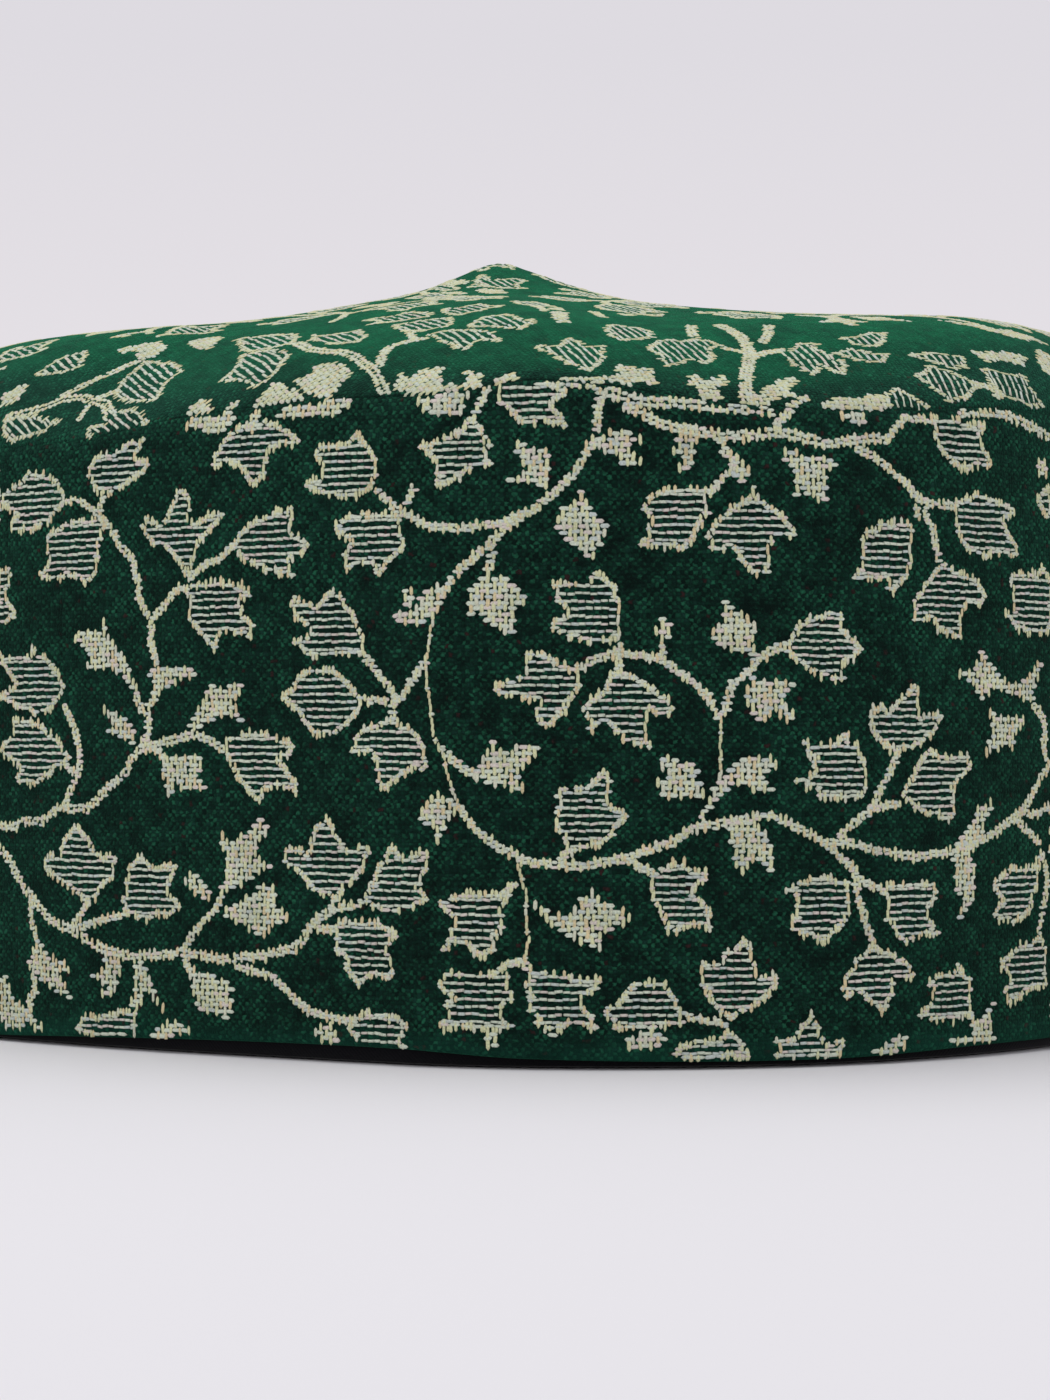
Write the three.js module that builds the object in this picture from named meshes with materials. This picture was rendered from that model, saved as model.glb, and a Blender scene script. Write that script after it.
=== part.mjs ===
// A woven kani cloth cap: an upright band, a soft crown sewn to its top edge and a black cotton lining.
// It stands on a table as it does when it isn't worn. Millimetres, +Z up, the front towards -Y.
// The origin is on the table, under the middle of the outline.

import * as THREE from 'three';

// Driving sizes
const CLOTH = 1.6;
const LINING = 1.0;
const GAP = 0.3;
const STEPS_ROUND = 72;

// Tables round the cap. The angle is in degrees from the front, positive towards the wearer's left (+X).
// The oval of a 57 cm head, softly flattened at the front on the -X side.
const OUTLINE = [
  { angle: -180, radius: 92.3 },
  { angle: -150, radius: 92.0 },
  { angle: -120, radius: 94.5 },
  { angle: -95, radius: 96.6 },
  { angle: -80, radius: 95.4 },
  { angle: -66, radius: 91.6 },
  { angle: -53, radius: 86.8 },
  { angle: -40, radius: 83.9 },
  { angle: -30, radius: 83.2 },
  { angle: -20, radius: 84.2 },
  { angle: -12, radius: 86.7 },
  { angle: -5, radius: 89.8 },
  { angle: 3, radius: 92.0 },
  { angle: 15, radius: 94.6 },
  { angle: 27, radius: 96.5 },
  { angle: 40, radius: 97.2 },
  { angle: 55, radius: 97.2 },
  { angle: 75, radius: 97.0 },
  { angle: 95, radius: 96.2 },
  { angle: 120, radius: 94.2 },
  { angle: 150, radius: 92.4 },
];

// The seam between band and crown dips and rises softly.
const SEAM = [
  { angle: -180, height: 80.5 },
  { angle: -120, height: 80.0 },
  { angle: -80, height: 79.0 },
  { angle: -53, height: 78.2 },
  { angle: -41, height: 78.3 },
  { angle: -29, height: 80.3 },
  { angle: -15, height: 81.4 },
  { angle: -5, height: 81.4 },
  { angle: 3, height: 82.8 },
  { angle: 10, height: 81.6 },
  { angle: 17, height: 80.1 },
  { angle: 28, height: 79.8 },
  { angle: 40, height: 81.2 },
  { angle: 60, height: 81.4 },
  { angle: 110, height: 80.5 },
];

// The band's hem ends a little above the table and leaves the lining's edge to show.
const HEM = [
  { angle: -180, height: 1.2 },
  { angle: -120, height: 1.0 },
  { angle: -80, height: 0.6 },
  { angle: -53, height: 0.5 },
  { angle: -40, height: 1.2 },
  { angle: -25, height: 1.8 },
  { angle: -8, height: 1.9 },
  { angle: 2, height: 1.1 },
  { angle: 25, height: 0.7 },
  { angle: 40, height: 1.3 },
  { angle: 90, height: 1.0 },
  { angle: 140, height: 1.3 },
];

// The crown is puffed: `top` is the height it climbs to, `fullness` how square its shoulder is.
const CROWN = [
  { angle: -180, top: 98.0, fullness: 5.0 },
  { angle: -90, top: 98.5, fullness: 8.0 },
  { angle: -60, top: 96.5, fullness: 7.5 },
  { angle: -40, top: 93.6, fullness: 5.0 },
  { angle: -15, top: 94.2, fullness: 4.4 },
  { angle: 0, top: 95.6, fullness: 4.4 },
  { angle: 17, top: 94.0, fullness: 4.4 },
  { angle: 35, top: 94.0, fullness: 6.0 },
  { angle: 50, top: 97.0, fullness: 8.5 },
  { angle: 65, top: 100.5, fullness: 8.8 },
  { angle: 90, top: 102.0, fullness: 9.0 },
  { angle: 130, top: 99.0, fullness: 6.0 },
];
const CROWN_MIDDLE = 97.3;
const SHOULDER_POWER = 0.86;
const CROWN_RINGS = [0.06, 0.16, 0.28, 0.42, 0.56, 0.68, 0.78, 0.86, 0.92, 0.96, 0.985, 1];

// The soft tent-like peak near the middle of the crown, and the folds that run out from it.
const PEAK = { x: -1, y: -2, height: 14.6, reach: 25.8, tip: 3 };
const FOLD_REACH = 25;
const FOLDS = [
  { angle: 66, depth: 1.6, width: 9 },
  { angle: -72, depth: 1.0, width: 14 },
  { angle: 148, depth: 1.5, width: 13 },
  { angle: -146, depth: 1.2, width: 12 },
];

// A smooth closed curve through one column of a table.
function around(table, column, angle) {
  const count = table.length;
  const knot = (i) => {
    const turns = Math.floor(i / count);
    const row = table[i - turns * count];
    return { at: row.angle + 360 * turns, value: row[column] };
  };
  let at = angle;
  while (at < table[0].angle) at += 360;
  while (at >= table[0].angle + 360) at -= 360;
  let i = 0;
  while (knot(i + 1).at <= at) i += 1;
  const [before, low, high, after] = [knot(i - 1), knot(i), knot(i + 1), knot(i + 2)];
  const span = high.at - low.at;
  const leave = (span * (high.value - before.value)) / (high.at - before.at);
  const arrive = (span * (after.value - low.value)) / (after.at - low.at);
  const t = (at - low.at) / span;
  const keepLow = 2 * t ** 3 - 3 * t ** 2 + 1;
  const keepLeave = t ** 3 - 2 * t ** 2 + t;
  const keepArrive = t ** 3 - t ** 2;
  return keepLow * low.value + (1 - keepLow) * high.value + keepLeave * leave + keepArrive * arrive;
}

function wallPoint(angle, height, inset) {
  const turn = THREE.MathUtils.degToRad(angle);
  const radius = around(OUTLINE, 'radius', angle) - inset;
  return new THREE.Vector3(radius * Math.sin(turn), -radius * Math.cos(turn), height);
}

// How far the crown's folds press in at a place seen from the peak.
function foldDepth(angle, distance) {
  const reach = (distance / FOLD_REACH) * Math.exp(1 - distance / FOLD_REACH);
  let depth = 0;
  for (const fold of FOLDS) {
    const off = THREE.MathUtils.euclideanModulo(angle - fold.angle + 180, 360) - 180;
    depth += fold.depth * reach * Math.exp(-((off / fold.width) ** 2));
  }
  return depth;
}

// A point of the crown: `share` is 0 in the middle and 1 at the seam.
function crownPoint(angle, share, inset) {
  const point = wallPoint(angle, 0, inset).multiplyScalar(share);
  const seam = around(SEAM, 'height', angle);
  const side = around(CROWN, 'top', angle);
  const top = side * share ** 2 + CROWN_MIDDLE * (1 - share ** 2) - inset;
  const lift = (1 - share ** around(CROWN, 'fullness', angle)) ** SHOULDER_POWER;
  const away = new THREE.Vector2(point.x - PEAK.x, point.y - PEAK.y);
  const peak = PEAK.height * Math.exp(-Math.hypot(away.length(), PEAK.tip) / PEAK.reach);
  const turn = THREE.MathUtils.radToDeg(Math.atan2(away.x, -away.y));
  point.z = seam + (top - seam + peak - foldDepth(turn, away.length())) * lift;
  return point;
}

function ringOf(pointAt) {
  const ring = [];
  for (let step = 0; step < STEPS_ROUND; step += 1) {
    ring.push(pointAt((360 * step) / STEPS_ROUND - 180));
  }
  return ring;
}

const wallRing = (inset, heightAt) => ringOf((angle) => wallPoint(angle, heightAt(angle), inset));

const crownRing = (inset, share) => ringOf((angle) => crownPoint(angle, share, inset));

const seamHeight = (angle) => around(SEAM, 'height', angle);

const hemHeight = (angle) => around(HEM, 'height', angle);

// A closed skin over rings of points. With two end points it is a shell, without them a tube bent shut.
function closedSkin(rings, firstPoint, lastPoint) {
  const points = rings.flat();
  const faces = [];
  const bands = firstPoint ? rings.length - 1 : rings.length;
  for (let row = 0; row < bands; row += 1) {
    const upper = row * STEPS_ROUND;
    const lower = ((row + 1) % rings.length) * STEPS_ROUND;
    for (let step = 0; step < STEPS_ROUND; step += 1) {
      const next = (step + 1) % STEPS_ROUND;
      faces.push(upper + step, lower + step, lower + next);
      faces.push(upper + step, lower + next, upper + next);
    }
  }
  if (firstPoint) {
    const first = points.push(firstPoint) - 1;
    const last = points.push(lastPoint) - 1;
    const lastRow = (rings.length - 1) * STEPS_ROUND;
    for (let step = 0; step < STEPS_ROUND; step += 1) {
      const next = (step + 1) % STEPS_ROUND;
      faces.push(first, step, next);
      faces.push(last, lastRow + next, lastRow + step);
    }
  }
  const geometry = new THREE.BufferGeometry().setFromPoints(points);
  geometry.setIndex(faces);
  geometry.computeVertexNormals();
  return geometry;
}

// The band: an upright wall of cloth from the hem to the seam.
function band() {
  const shares = [1, 0.66, 0.33, 0];
  const top = (angle) => seamHeight(angle) - GAP / 2;
  const heightAt = (share) => (angle) => hemHeight(angle) + share * (top(angle) - hemHeight(angle));
  const outside = shares.map((share) => wallRing(0, heightAt(share)));
  const inside = shares.map((share) => wallRing(CLOTH, heightAt(share))).reverse();
  return closedSkin([...outside, ...inside]);
}

function raised(ring, by) {
  return ring.map((point) => point.clone().setZ(point.z + by));
}

// The crown: one round of cloth, from the middle out to the seam on top and back underneath.
function crown() {
  const outside = CROWN_RINGS.map((share) => raised(crownRing(0, share), GAP / 2));
  const inside = CROWN_RINGS.map((share) => raised(crownRing(CLOTH, share), GAP / 2)).reverse();
  const middle = (inset) => crownPoint(0, 0, inset).setZ(crownPoint(0, 0, inset).z + GAP / 2);
  return closedSkin([...outside, ...inside], middle(0), middle(CLOTH));
}

// The lining: the same form one cloth further in, down to the table.
function lining() {
  const outer = CLOTH + GAP;
  const inner = outer + LINING;
  const half = (angle) => seamHeight(angle) / 2;
  const floor = () => 0;
  const outside = CROWN_RINGS.map((share) => crownRing(outer, share));
  const inside = CROWN_RINGS.map((share) => crownRing(inner, share)).reverse();
  const walls = [wallRing(outer, half), wallRing(outer, floor), wallRing(inner, floor), wallRing(inner, half)];
  return closedSkin([...outside, ...walls, ...inside], crownPoint(0, 0, outer), crownPoint(0, 0, inner));
}

function piece(name, geometry, color, roughness) {
  const material = new THREE.MeshStandardMaterial({ color, roughness, metalness: 0 });
  const mesh = new THREE.Mesh(geometry, material);
  mesh.name = name;
  return mesh;
}

const KANI_GREEN = 0x17402f;
const LINING_BLACK = 0x0c0d0f;

const cap = new THREE.Group();
cap.add(piece('band', band(), KANI_GREEN, 0.9));
cap.add(piece('crown', crown(), KANI_GREEN, 0.85));
cap.add(piece('lining', lining(), LINING_BLACK, 0.8));

export default cap;
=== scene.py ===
"""A kani-woven cap: an upright band, a softly peaked crown and a black lining.

Charts and sizes are in millimetres on the flat cloth. Meshes are made in metres.
"""

import math

import bpy
import numpy as np
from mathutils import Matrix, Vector


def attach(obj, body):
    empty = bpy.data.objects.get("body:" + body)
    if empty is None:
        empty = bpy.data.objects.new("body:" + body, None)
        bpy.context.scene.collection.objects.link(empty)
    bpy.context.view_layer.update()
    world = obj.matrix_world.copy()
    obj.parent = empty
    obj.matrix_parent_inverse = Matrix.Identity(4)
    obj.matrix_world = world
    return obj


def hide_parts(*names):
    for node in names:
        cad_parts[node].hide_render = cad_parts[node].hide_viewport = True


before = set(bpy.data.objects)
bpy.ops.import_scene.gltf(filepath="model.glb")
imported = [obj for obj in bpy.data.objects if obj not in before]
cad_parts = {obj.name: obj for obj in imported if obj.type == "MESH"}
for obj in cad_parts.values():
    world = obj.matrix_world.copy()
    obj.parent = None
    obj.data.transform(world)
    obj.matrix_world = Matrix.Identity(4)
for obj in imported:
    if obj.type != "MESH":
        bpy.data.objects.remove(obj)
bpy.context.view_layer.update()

MM = 0.001
rng = np.random.default_rng(7)

# The cap's form: columns are degrees from the front, towards +X, and millimetres
OUTLINE = (
    (-180, 92.3), (-150, 92.0), (-120, 94.5), (-95, 96.6), (-80, 95.4), (-66, 91.6), (-53, 86.8),
    (-40, 83.9), (-30, 83.2), (-20, 84.2), (-12, 86.7), (-5, 89.8), (3, 92.0), (15, 94.6), (27, 96.5),
    (40, 97.2), (55, 97.2), (75, 97.0), (95, 96.2), (120, 94.2), (150, 92.4),
)
SEAM = (
    (-180, 80.5), (-120, 80.0), (-80, 79.0), (-53, 78.2), (-41, 78.3), (-29, 80.3), (-15, 81.4),
    (-5, 81.4), (3, 82.8), (10, 81.6), (17, 80.1), (28, 79.8), (40, 81.2), (60, 81.4), (110, 80.5),
)
HEM = (
    (-180, 1.2), (-120, 1.0), (-80, 0.6), (-53, 0.5), (-40, 1.2), (-25, 1.8), (-8, 1.9), (2, 1.1),
    (25, 0.7), (40, 1.3), (90, 1.0), (140, 1.3),
)
CROWN_TOP = (
    (-180, 98.0), (-90, 98.5), (-60, 96.5), (-40, 93.6), (-15, 94.2), (0, 95.6), (17, 94.0),
    (35, 94.0), (50, 97.0), (65, 100.5), (90, 102.0), (130, 99.0),
)
CROWN_FULLNESS = (
    (-180, 5.0), (-90, 8.0), (-60, 7.5), (-40, 5.0), (-15, 4.4), (15, 4.4), (35, 6.0), (50, 8.5),
    (90, 9.0), (130, 6.0),
)
CROWN_MIDDLE = 97.3
SHOULDER_POWER = 0.86
PEAK_X, PEAK_Y, PEAK_HEIGHT, PEAK_REACH, PEAK_TIP = -1.0, -2.0, 14.6, 25.8, 3.0
FOLD_REACH = 25.0
# Folds from the peak: degrees, depth and half width in degrees
FOLDS = ((66, 1.6, 9), (-72, 1.0, 14), (148, 1.5, 13), (-146, 1.2, 12))

CLOTH, LINING, GAP = 1.6, 1.0, 0.3
CREASE_DEPTH, CREASE_WIDTH = 0.65, 2.2
# The cloth's small waves fade out this near to an edge, and are this much stronger on the crown
CALM_EDGE, CROWN_WAVES = 12, 1.3
MEAN_RADIUS = 92
# How far threads that pass the seam are folded in and down
OVER_IN, OVER_DOWN = 0.8, 0.4
EDGE_ROUNDING = 0.25

# The finer meshes: how many columns and rows, and the strips of the band's flat picture
BAND_COLUMNS, BAND_ROWS, BACK_ROWS = 420, 56, 7
STRIPS, STRIP_HEIGHT = 3, 84
CROWN_COLUMNS, CROWN_RINGS, SEAM_RINGS = 300, 64, 22
LINING_COLUMNS = 240
# How much of its flat picture a millimetre of the crown's and of the lining's cloth takes up
CROWN_SHEET_SCALE, LINING_SHEET_SCALE = 0.0048, 0.0027
# The lining's flat cloth: from its middle to the wall, the wall's height and its radius
DOME_LENGTH, WALL_HEIGHT, WALL_RADIUS = 97, 80, 90

# An even number above every thread's number, so that a remainder is never taken below nought
EVEN_SHIFT = 20000.0

# Threads
PICK, GROUND_PICK, CROWN_PICK, COTTON_PICK = 0.46, 0.52, 0.56, 0.55
SOLID_STEP, STEM_STEP = 0.70, 0.44
FLOAT_HEIGHT, CROWN_FLOAT_HEIGHT = 0.17, 0.10
# Widths of the floats: in stripes, in a leaf's sides, and across and up in solid figures
STRIPE_WIDTH, SIDE_WIDTH, EDGE_WIDTH = 0.39, 0.46, 0.48
SOLID_WEFT_WIDTH, SOLID_WARP_WIDTH = 0.60, 0.52
STEM_WIDTH, THIN_WIDTH = 0.48, 0.40
# A stem narrower than the first is one row of floats, and one as wide as the second is three
THIN_STEM, WIDE_STEM = 0.7, 1.9
# How far along its half length a float keeps its full width, and how much wider the crown's floats are
SOFT_END, BLUNT_END = 0.50, 0.82
CROWN_FULL = 1.22
# Weft and warp yarns: a name, and the usual, a warmer and a cooler shade
BAND_YARNS = (
    ("white_yarn", (218, 227, 208), (225, 215, 206), (204, 214, 208)),
    ("cream_yarn", (224, 226, 180), (228, 212, 168), (222, 224, 200)),
)
CROWN_YARNS = (
    ("white_yarn_crown", (206, 214, 192), (210, 204, 188), (202, 212, 200)),
    ("cream_yarn_crown", (206, 209, 166), (210, 202, 158), (206, 212, 184)),
)

# The camera's focal length and the picture's height, both in the photograph's pixels
FOCAL_PIXELS, PHOTO_HEIGHT_PIXELS = 3100, 1400

# How the crown's cloth is turned: its weft runs to the back and a little to the left
CROWN_WEFT = np.array([-0.362, 0.932])
CROWN_WARP = np.array([-0.932, -0.362])

# The charts: each row is one figure, as the two numbers of each of its points in turn.
# A stem's row starts with its width. The band's points are (along, up), from the middle of its front.
BAND_LEAVES = (
    (-73.9,42.2, -70.5,41.9, -68.3,41.2, -65.3,39.3, -64.3,38, -63.2,37.3, -64,36.5, -66,36, -67.3,34.7,
     -69.3,33.7, -72.5,33.7, -73,34.8, -72.3,35.7, -73,36.5, -75.7,37.7, -76.2,38.2, -75.3,39.2, -73.7,39.7),
    (-76.2,50.7, -74,50.3, -70.3,50.3, -69.7,51.5, -69,50.5, -67.3,50.3, -65.3,48, -64.3,46.3, -65,45,
     -66.3,43.7, -68.3,43, -70.7,43.3, -76.2,45, -74.3,46, -73,46.7, -73.7,48, -75,49),
    (-62,28.3, -60.2,27.3, -58.5,25.3, -57.3,24.3, -55.2,24.7, -54.7,23.8, -55.7,23.3, -55.3,22.3,
     -57.7,20.3, -58.2,19, -59.7,18.7, -62,20, -66,22, -67.5,23, -67.2,24, -66,24.8, -64.8,24, -64.3,25.7,
     -63.7,27),
    (-51.2,24.8, -49,23.2, -47.3,23.5, -45.3,23.5, -46,22.3, -46.7,21.3, -46.5,19.8, -44.7,18.5, -46.3,17.5,
     -50.7,16.8, -53,17.3, -54,19, -53.3,21.7, -53.2,22.7, -52,24),
    (-61.7,2.3, -60.8,3.7, -56.3,4.3, -54.3,4.8, -51.7,4.7, -52,3, -51.8,1.6, -54,1.7, -60,1.4, -60.7,2),
    (-67.5,66, -64.3,67.3, -62,67.8, -56.8,67.8, -57.7,66, -58,64.7, -58.7,61.3, -60.8,59.3, -61.3,60.5,
     -63.7,60.8, -68,60.3, -68.8,61.2, -67.3,61.8, -67,63, -67.3,64.7),
    (-76.2,71.7, -74.3,72.7, -72.3,73.3, -70.7,75, -70.3,74.3, -68.3,74.2, -66,73.5, -63.8,71, -65,69.7,
     -67,68, -69.3,67.2, -72.3,66.8, -74.5,66.7, -74.5,68, -73,69, -75,70, -76.2,70.7),
    (-76.5,61.7, -74.3,62.2, -74,61, -74.7,59.3, -74.5,57.7, -73,56.3, -73.3,55.5, -76.5,54.7),
    (-60.2,73.7, -59.5,75.3, -58,76.2, -56.3,76, -53,77.5, -50.7,77.8, -51.5,76.7, -52.5,75.3, -49.5,74.8,
     -51,73.5, -54.3,71.8, -56.3,71.2, -58.7,71.8),
    (-45.2,71.3, -43.8,70.5, -43.5,69, -43.2,66.8, -41.3,67.2, -40,68, -38.5,67.7, -40.7,65.3, -42,64.3,
     -43.8,59.8, -44.7,61.7, -47,63.8, -49,64.2, -50.3,65.3, -51.2,66.7, -50.5,67.8, -49.2,67.2, -47.7,67,
     -46,69.7),
    (-44.3,58.3, -42.7,59.3, -38.7,59.3, -36,58.8, -33.7,57.8, -35.7,57, -35.3,55.3, -33.8,54, -33.7,52.2,
     -36,52.7, -38.3,53.3, -39.5,50.8, -40.7,51.7, -42.3,53.7, -43.5,55, -43.3,57),
    (-36.2,64.7, -34.8,66, -31.3,67.5, -27.7,68.2, -28.3,65.3, -26.8,64.3, -25.5,63.7, -26,62.7, -27.7,62.3,
     -28.3,61.5, -28,59.7, -30,60.2, -34,61.3, -36.7,63.5),
    (-37.7,39.7, -34,40.3, -32,40.2, -27.5,38.8, -28.5,37.8, -30.3,37.5, -29.7,36.3, -27.2,34, -27.5,33,
     -30,33.7, -32,33.5, -33.4,31.6, -35.3,33.7, -37,35.7, -37.5,37, -38,38.3),
    (-19.5,37.8, -19,39.5, -18,40.5, -16,41.3, -13.7,41.8, -11.3,41, -9.2,38.5, -9.5,37.3, -8.8,36.5,
     -9.5,35.7, -10.7,36.2, -13,34.7, -14.8,33.3, -15.8,34.2, -16,36.7, -15.8,37.7),
    (-22.8,29.7, -21.5,27.7, -20.3,25.8, -17.3,26.5, -16.8,25.7, -17.8,25, -17.8,23.8, -20.2,21.7, -21.5,20,
     -25,21, -27.3,23.3, -29,24, -29.2,26, -25.7,25.7, -25.3,27, -24.7,28.7),
    (-13.5,26.7, -12.7,25, -10.7,25.5, -9,26.3, -9,24, -10,23, -10.2,21.3, -9,20.3, -11.7,19, -14.7,18.5,
     -17.8,19.8, -17,21.3, -16.3,23, -15.3,24.7),
    (-22,16.7, -20.7,17.3, -16,17.2, -12.8,15.8, -14,15.2, -14.5,14, -13.5,11, -14.3,10.3, -15.7,11,
     -17.3,10.8, -18.3,9.2, -20.3,11.3, -20,12.7, -21.7,13.7),
    (-18.7,5.8, -16.7,6.2, -14.7,6, -11.5,5.2, -12.3,4, -12.5,2.7, -11.3,1.7, -18.7,1.7, -18.7,3, -20,4),
    (-7.7,19.8, -4.3,20.8, -2,20.7, 0,21, 1,21.9, 2.2,22.7, 1,20.6, 0.3,19, 0.2,17.3, -1,15, -0.3,14.5,
     -2.5,13.3, -3.7,14.7, -5.7,15, -7,14, -6,16.7, -5.7,18, -6.7,19),
    (-7.7,9.5, -7,11.2, -3.7,11.3, -0.7,11.5, 0.8,12.8, 1,10.2, 1.7,9.2, 1.3,7.9, 0.3,7.7, 0.3,6, 1,5,
     -3.7,4.7, -7.7,5, -6.7,6, -6.7,7.7, -5.7,8.3),
    (-40,73.5, -39.8,75, -37.7,77.7, -36,78.5, -32,79.2, -28.7,77.7, -26.8,76.3, -29.3,76, -31.3,75.7,
     -31.7,74.3, -32.3,72.3, -33.7,71.2, -35.7,73.7, -37.7,74.3),
    (-24.8,74.7, -24,75.7, -20.3,75.7, -18.7,77.2, -17.7,75.7, -15.8,73.7, -16,71.7, -17.3,69.7, -20.3,69.2,
     -24,70, -26.3,70.5, -25.3,71.3, -23.8,71.8, -23.5,73.3),
    (-22.3,65.5, -19.7,66.8, -18,67.2, -13,66.8, -12.5,64.7, -12.3,63, -14.7,60.8, -15.7,59.3, -16.5,61,
     -18.3,61.2, -20.3,60.3, -20.7,61.3, -19.3,64, -21,64.7),
    (-22.2,58, -20.7,56.7, -18.7,54, -17.8,52, -17.5,50, -22,49.8, -25.3,50, -28,51.7, -26,52, -25.3,53.2,
     -27.7,54.7, -28.2,56.3, -27.7,57.3, -26.7,56.3, -24.3,56, -23.3,57),
    (-29.8,44.7, -28.3,45.5, -27,47.3, -25,48.2, -22.7,48.2, -20.7,47.3, -18,44.5, -18,43.2, -20.7,41,
     -22.3,40, -25.3,40.5, -27.3,43.3, -28.7,44),
    (-10.2,75, -6.7,76, -5,76.8, -3.3,78.8, -2.5,77.2, -1.3,75, -1.7,73.7, -1.2,72.7, -3,72.5, -6,70.7,
     -8.3,69.8, -7.8,71.3, -8,73.3, -9.5,74.5),
    (7.5,34.5, 8,33.3, 11,34, 11.7,35.2, 12.5,35.7, 12.9,35, 13.4,31.2, 14.7,31, 15.5,30.3, 14.5,29.5,
     13,27.5, 11,26.7, 9.7,26.3, 8.2,26, 8,27.3, 6.7,29.2, 6.8,30.3, 7,32),
    (18.2,23.3, 18.7,23.8, 21.7,24.7, 23,23.8, 24.7,23.7, 25.5,22.7, 23.3,22, 23.3,20.8, 24.2,20.2, 25.2,19,
     25.7,18, 25.5,16.8, 23.3,17.5, 21.3,16.5, 20.3,16.8, 19,19.3, 18.2,20.2),
    (34.5,21, 36.7,22.2, 38.7,22.7, 43.5,22.4, 43.3,18.2, 42.2,16.5, 41,16.2, 40.5,15.2, 39.7,14.8,
     38.3,15.7, 35.7,16.3, 36,19, 36.7,20, 36,20.7),
    (3.5,11.8, 7,11.3, 10,10.8, 12,10.7, 11.7,9.5, 10.3,9, 9.7,8.3, 10,7.2, 11.3,5.8, 11.8,5, 8.3,5.2,
     6.7,4.8, 4.3,5.2, 4.7,6.2, 3.5,6.8, 3.7,8.7, 3.2,10),
    (12.5,7, 14.7,8.3, 15,9.2, 15.8,10.3, 19.8,10.2, 21.3,8.3, 21.8,6.7, 21.7,5.2, 14.7,4.9, 13.7,5,
     14.2,5.8, 13,6.2),
    (29.3,15.2, 30.2,15.2, 30.8,12.7, 31.3,10.8, 34,10.8, 33.7,10, 32.5,8.5, 29.3,6.7, 28,5.8, 26.2,7,
     24.8,9.5, 24,10.2, 24.3,12.5, 26.7,12.7, 27.3,13.8, 28.3,14.3),
    (20.7,1.6, 22.3,3.2, 26.7,3.3, 27.2,4.3, 28.3,4.2, 29.7,2.5, 30.2,1.2, 28,1.4, 22,1.3),
    (33.3,3.3, 35.8,3.2, 36,4.2, 37,4.7, 38,6.3, 39.3,4.3, 39.7,2.7, 41,2.7, 43,3.2, 42.3,2.2, 41.3,1.2,
     33.5,1.3, 34,2),
    (36.8,39.8, 38.3,38.8, 41.7,39, 43.1,40.5, 43.7,39, 44.7,38.7, 45.2,37, 45.8,36.7, 45.7,34.3, 45.3,32.2,
     39.7,32.3, 39,33.5, 36.3,34.5, 38,34.8, 39.2,36, 38.2,36, 38.8,37.3, 37.7,37.8),
    (46.3,42, 46.8,43.7, 48.3,43.7, 49,43, 50.3,44.3, 51.7,45, 52.8,46.2, 53.5,45.7, 53.5,42.3, 57.2,42.4,
     56.3,41, 54.3,39.2, 52,38.5, 50.3,38, 48,39.2, 46.5,40.7),
    (50.8,32.7, 51.7,34, 53.7,37, 55.2,38.3, 57.7,37.2, 61.3,37.7, 61.8,36.3, 60,34.7, 58.8,33.7, 59.3,32,
     59,30.3, 58.2,29.7, 54.7,30.3, 53,31),
    (48.3,20.7, 48.7,21.7, 55.7,21.7, 56.3,20.7, 55.2,19, 55.2,17.3, 56,16.5, 56.3,15.2, 52.7,15.3,
     51.5,14.5, 50.3,15.3, 49.3,17.2, 48.7,17.3),
    (46.3,14, 47.3,14, 50.3,12.7, 51.8,12.3, 52.7,10.5, 49.7,10.3, 49.5,8.7, 48,6.2, 45.7,7.7, 45,8.8,
     43.3,8.7, 42.7,7.8, 42.2,9.2, 42.7,10.7, 44.3,12.7),
    (53.3,5.2, 55.3,7.3, 55.7,8.7, 54.7,9, 55.2,10, 59,10.5, 60,11.8, 60.7,10.3, 61.7,9.7, 61.7,5.3, 58,4.8),
    (65.7,21.8, 67.7,22.3, 69,23.3, 75,23.5, 74.8,21.7, 73.3,18, 71.7,16.7, 70,16.5, 65.8,17.2, 67,18.3,
     67.7,19.3, 66.7,20.3),
    (66.8,11.3, 71.3,13.5, 73.7,13.7, 75.3,14.7, 76.3,13.3, 76.8,10, 76.3,8, 73.3,8, 68.3,6, 68,8, 69,9.3,
     68.3,10.7),
    (67.3,55, 69,54.7, 70,53.7, 72,53.2, 77.1,53.4, 77.1,59.6, 76.3,60.3, 75.2,61.5, 73.7,60.3, 71.3,60.3,
     69.3,60.5, 68.7,59.7, 69.3,58.3, 69,57, 69.3,55.7),
    (52.5,54, 52.7,56.3, 53.7,57.7, 55.7,60.3, 57.3,61.3, 60.7,60, 62.7,59.3, 64.7,57.7, 63.7,56.5,
     60.8,56.5, 60.3,52.2, 58.7,52.5, 56.7,53.2, 55.3,54.7, 53.7,54),
    (44.7,63, 45.5,65.3, 46.7,65, 47.7,66.2, 52.3,66, 52.3,62, 51.7,59.7, 50.3,58.3, 49.3,57.7, 48.7,59.3,
     43.8,59, 44.7,60.3),
    (59.3,69, 61.3,69.7, 63,70.3, 67.7,69.2, 70.3,68.3, 67.5,67.2, 68,66, 70,64, 70,62.8, 65.3,63, 64,62.2,
     63,63, 61.2,63, 60,64.7, 59.3,66),
    (55.2,79.4, 64.8,78.9, 63.7,78, 63.7,76.3, 64.7,75.3, 65.8,73.7, 63,74, 61.2,73, 58,74.3, 57,75.3,
     55.7,77, 56.3,77.7, 56,78.7),
    (74,69.7, 75.3,71, 77.1,72, 77.1,68.3, 76,67.8, 75.3,69.3),
    (-0.5,81.3, 0.2,83, 2.3,83.7, 4,82.7, 7,82, 8,81.3, 6,79.8, 7.3,78.7, 8,77.2, 5,78, 3,77.2, 1.3,79,
     0,80),
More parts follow.
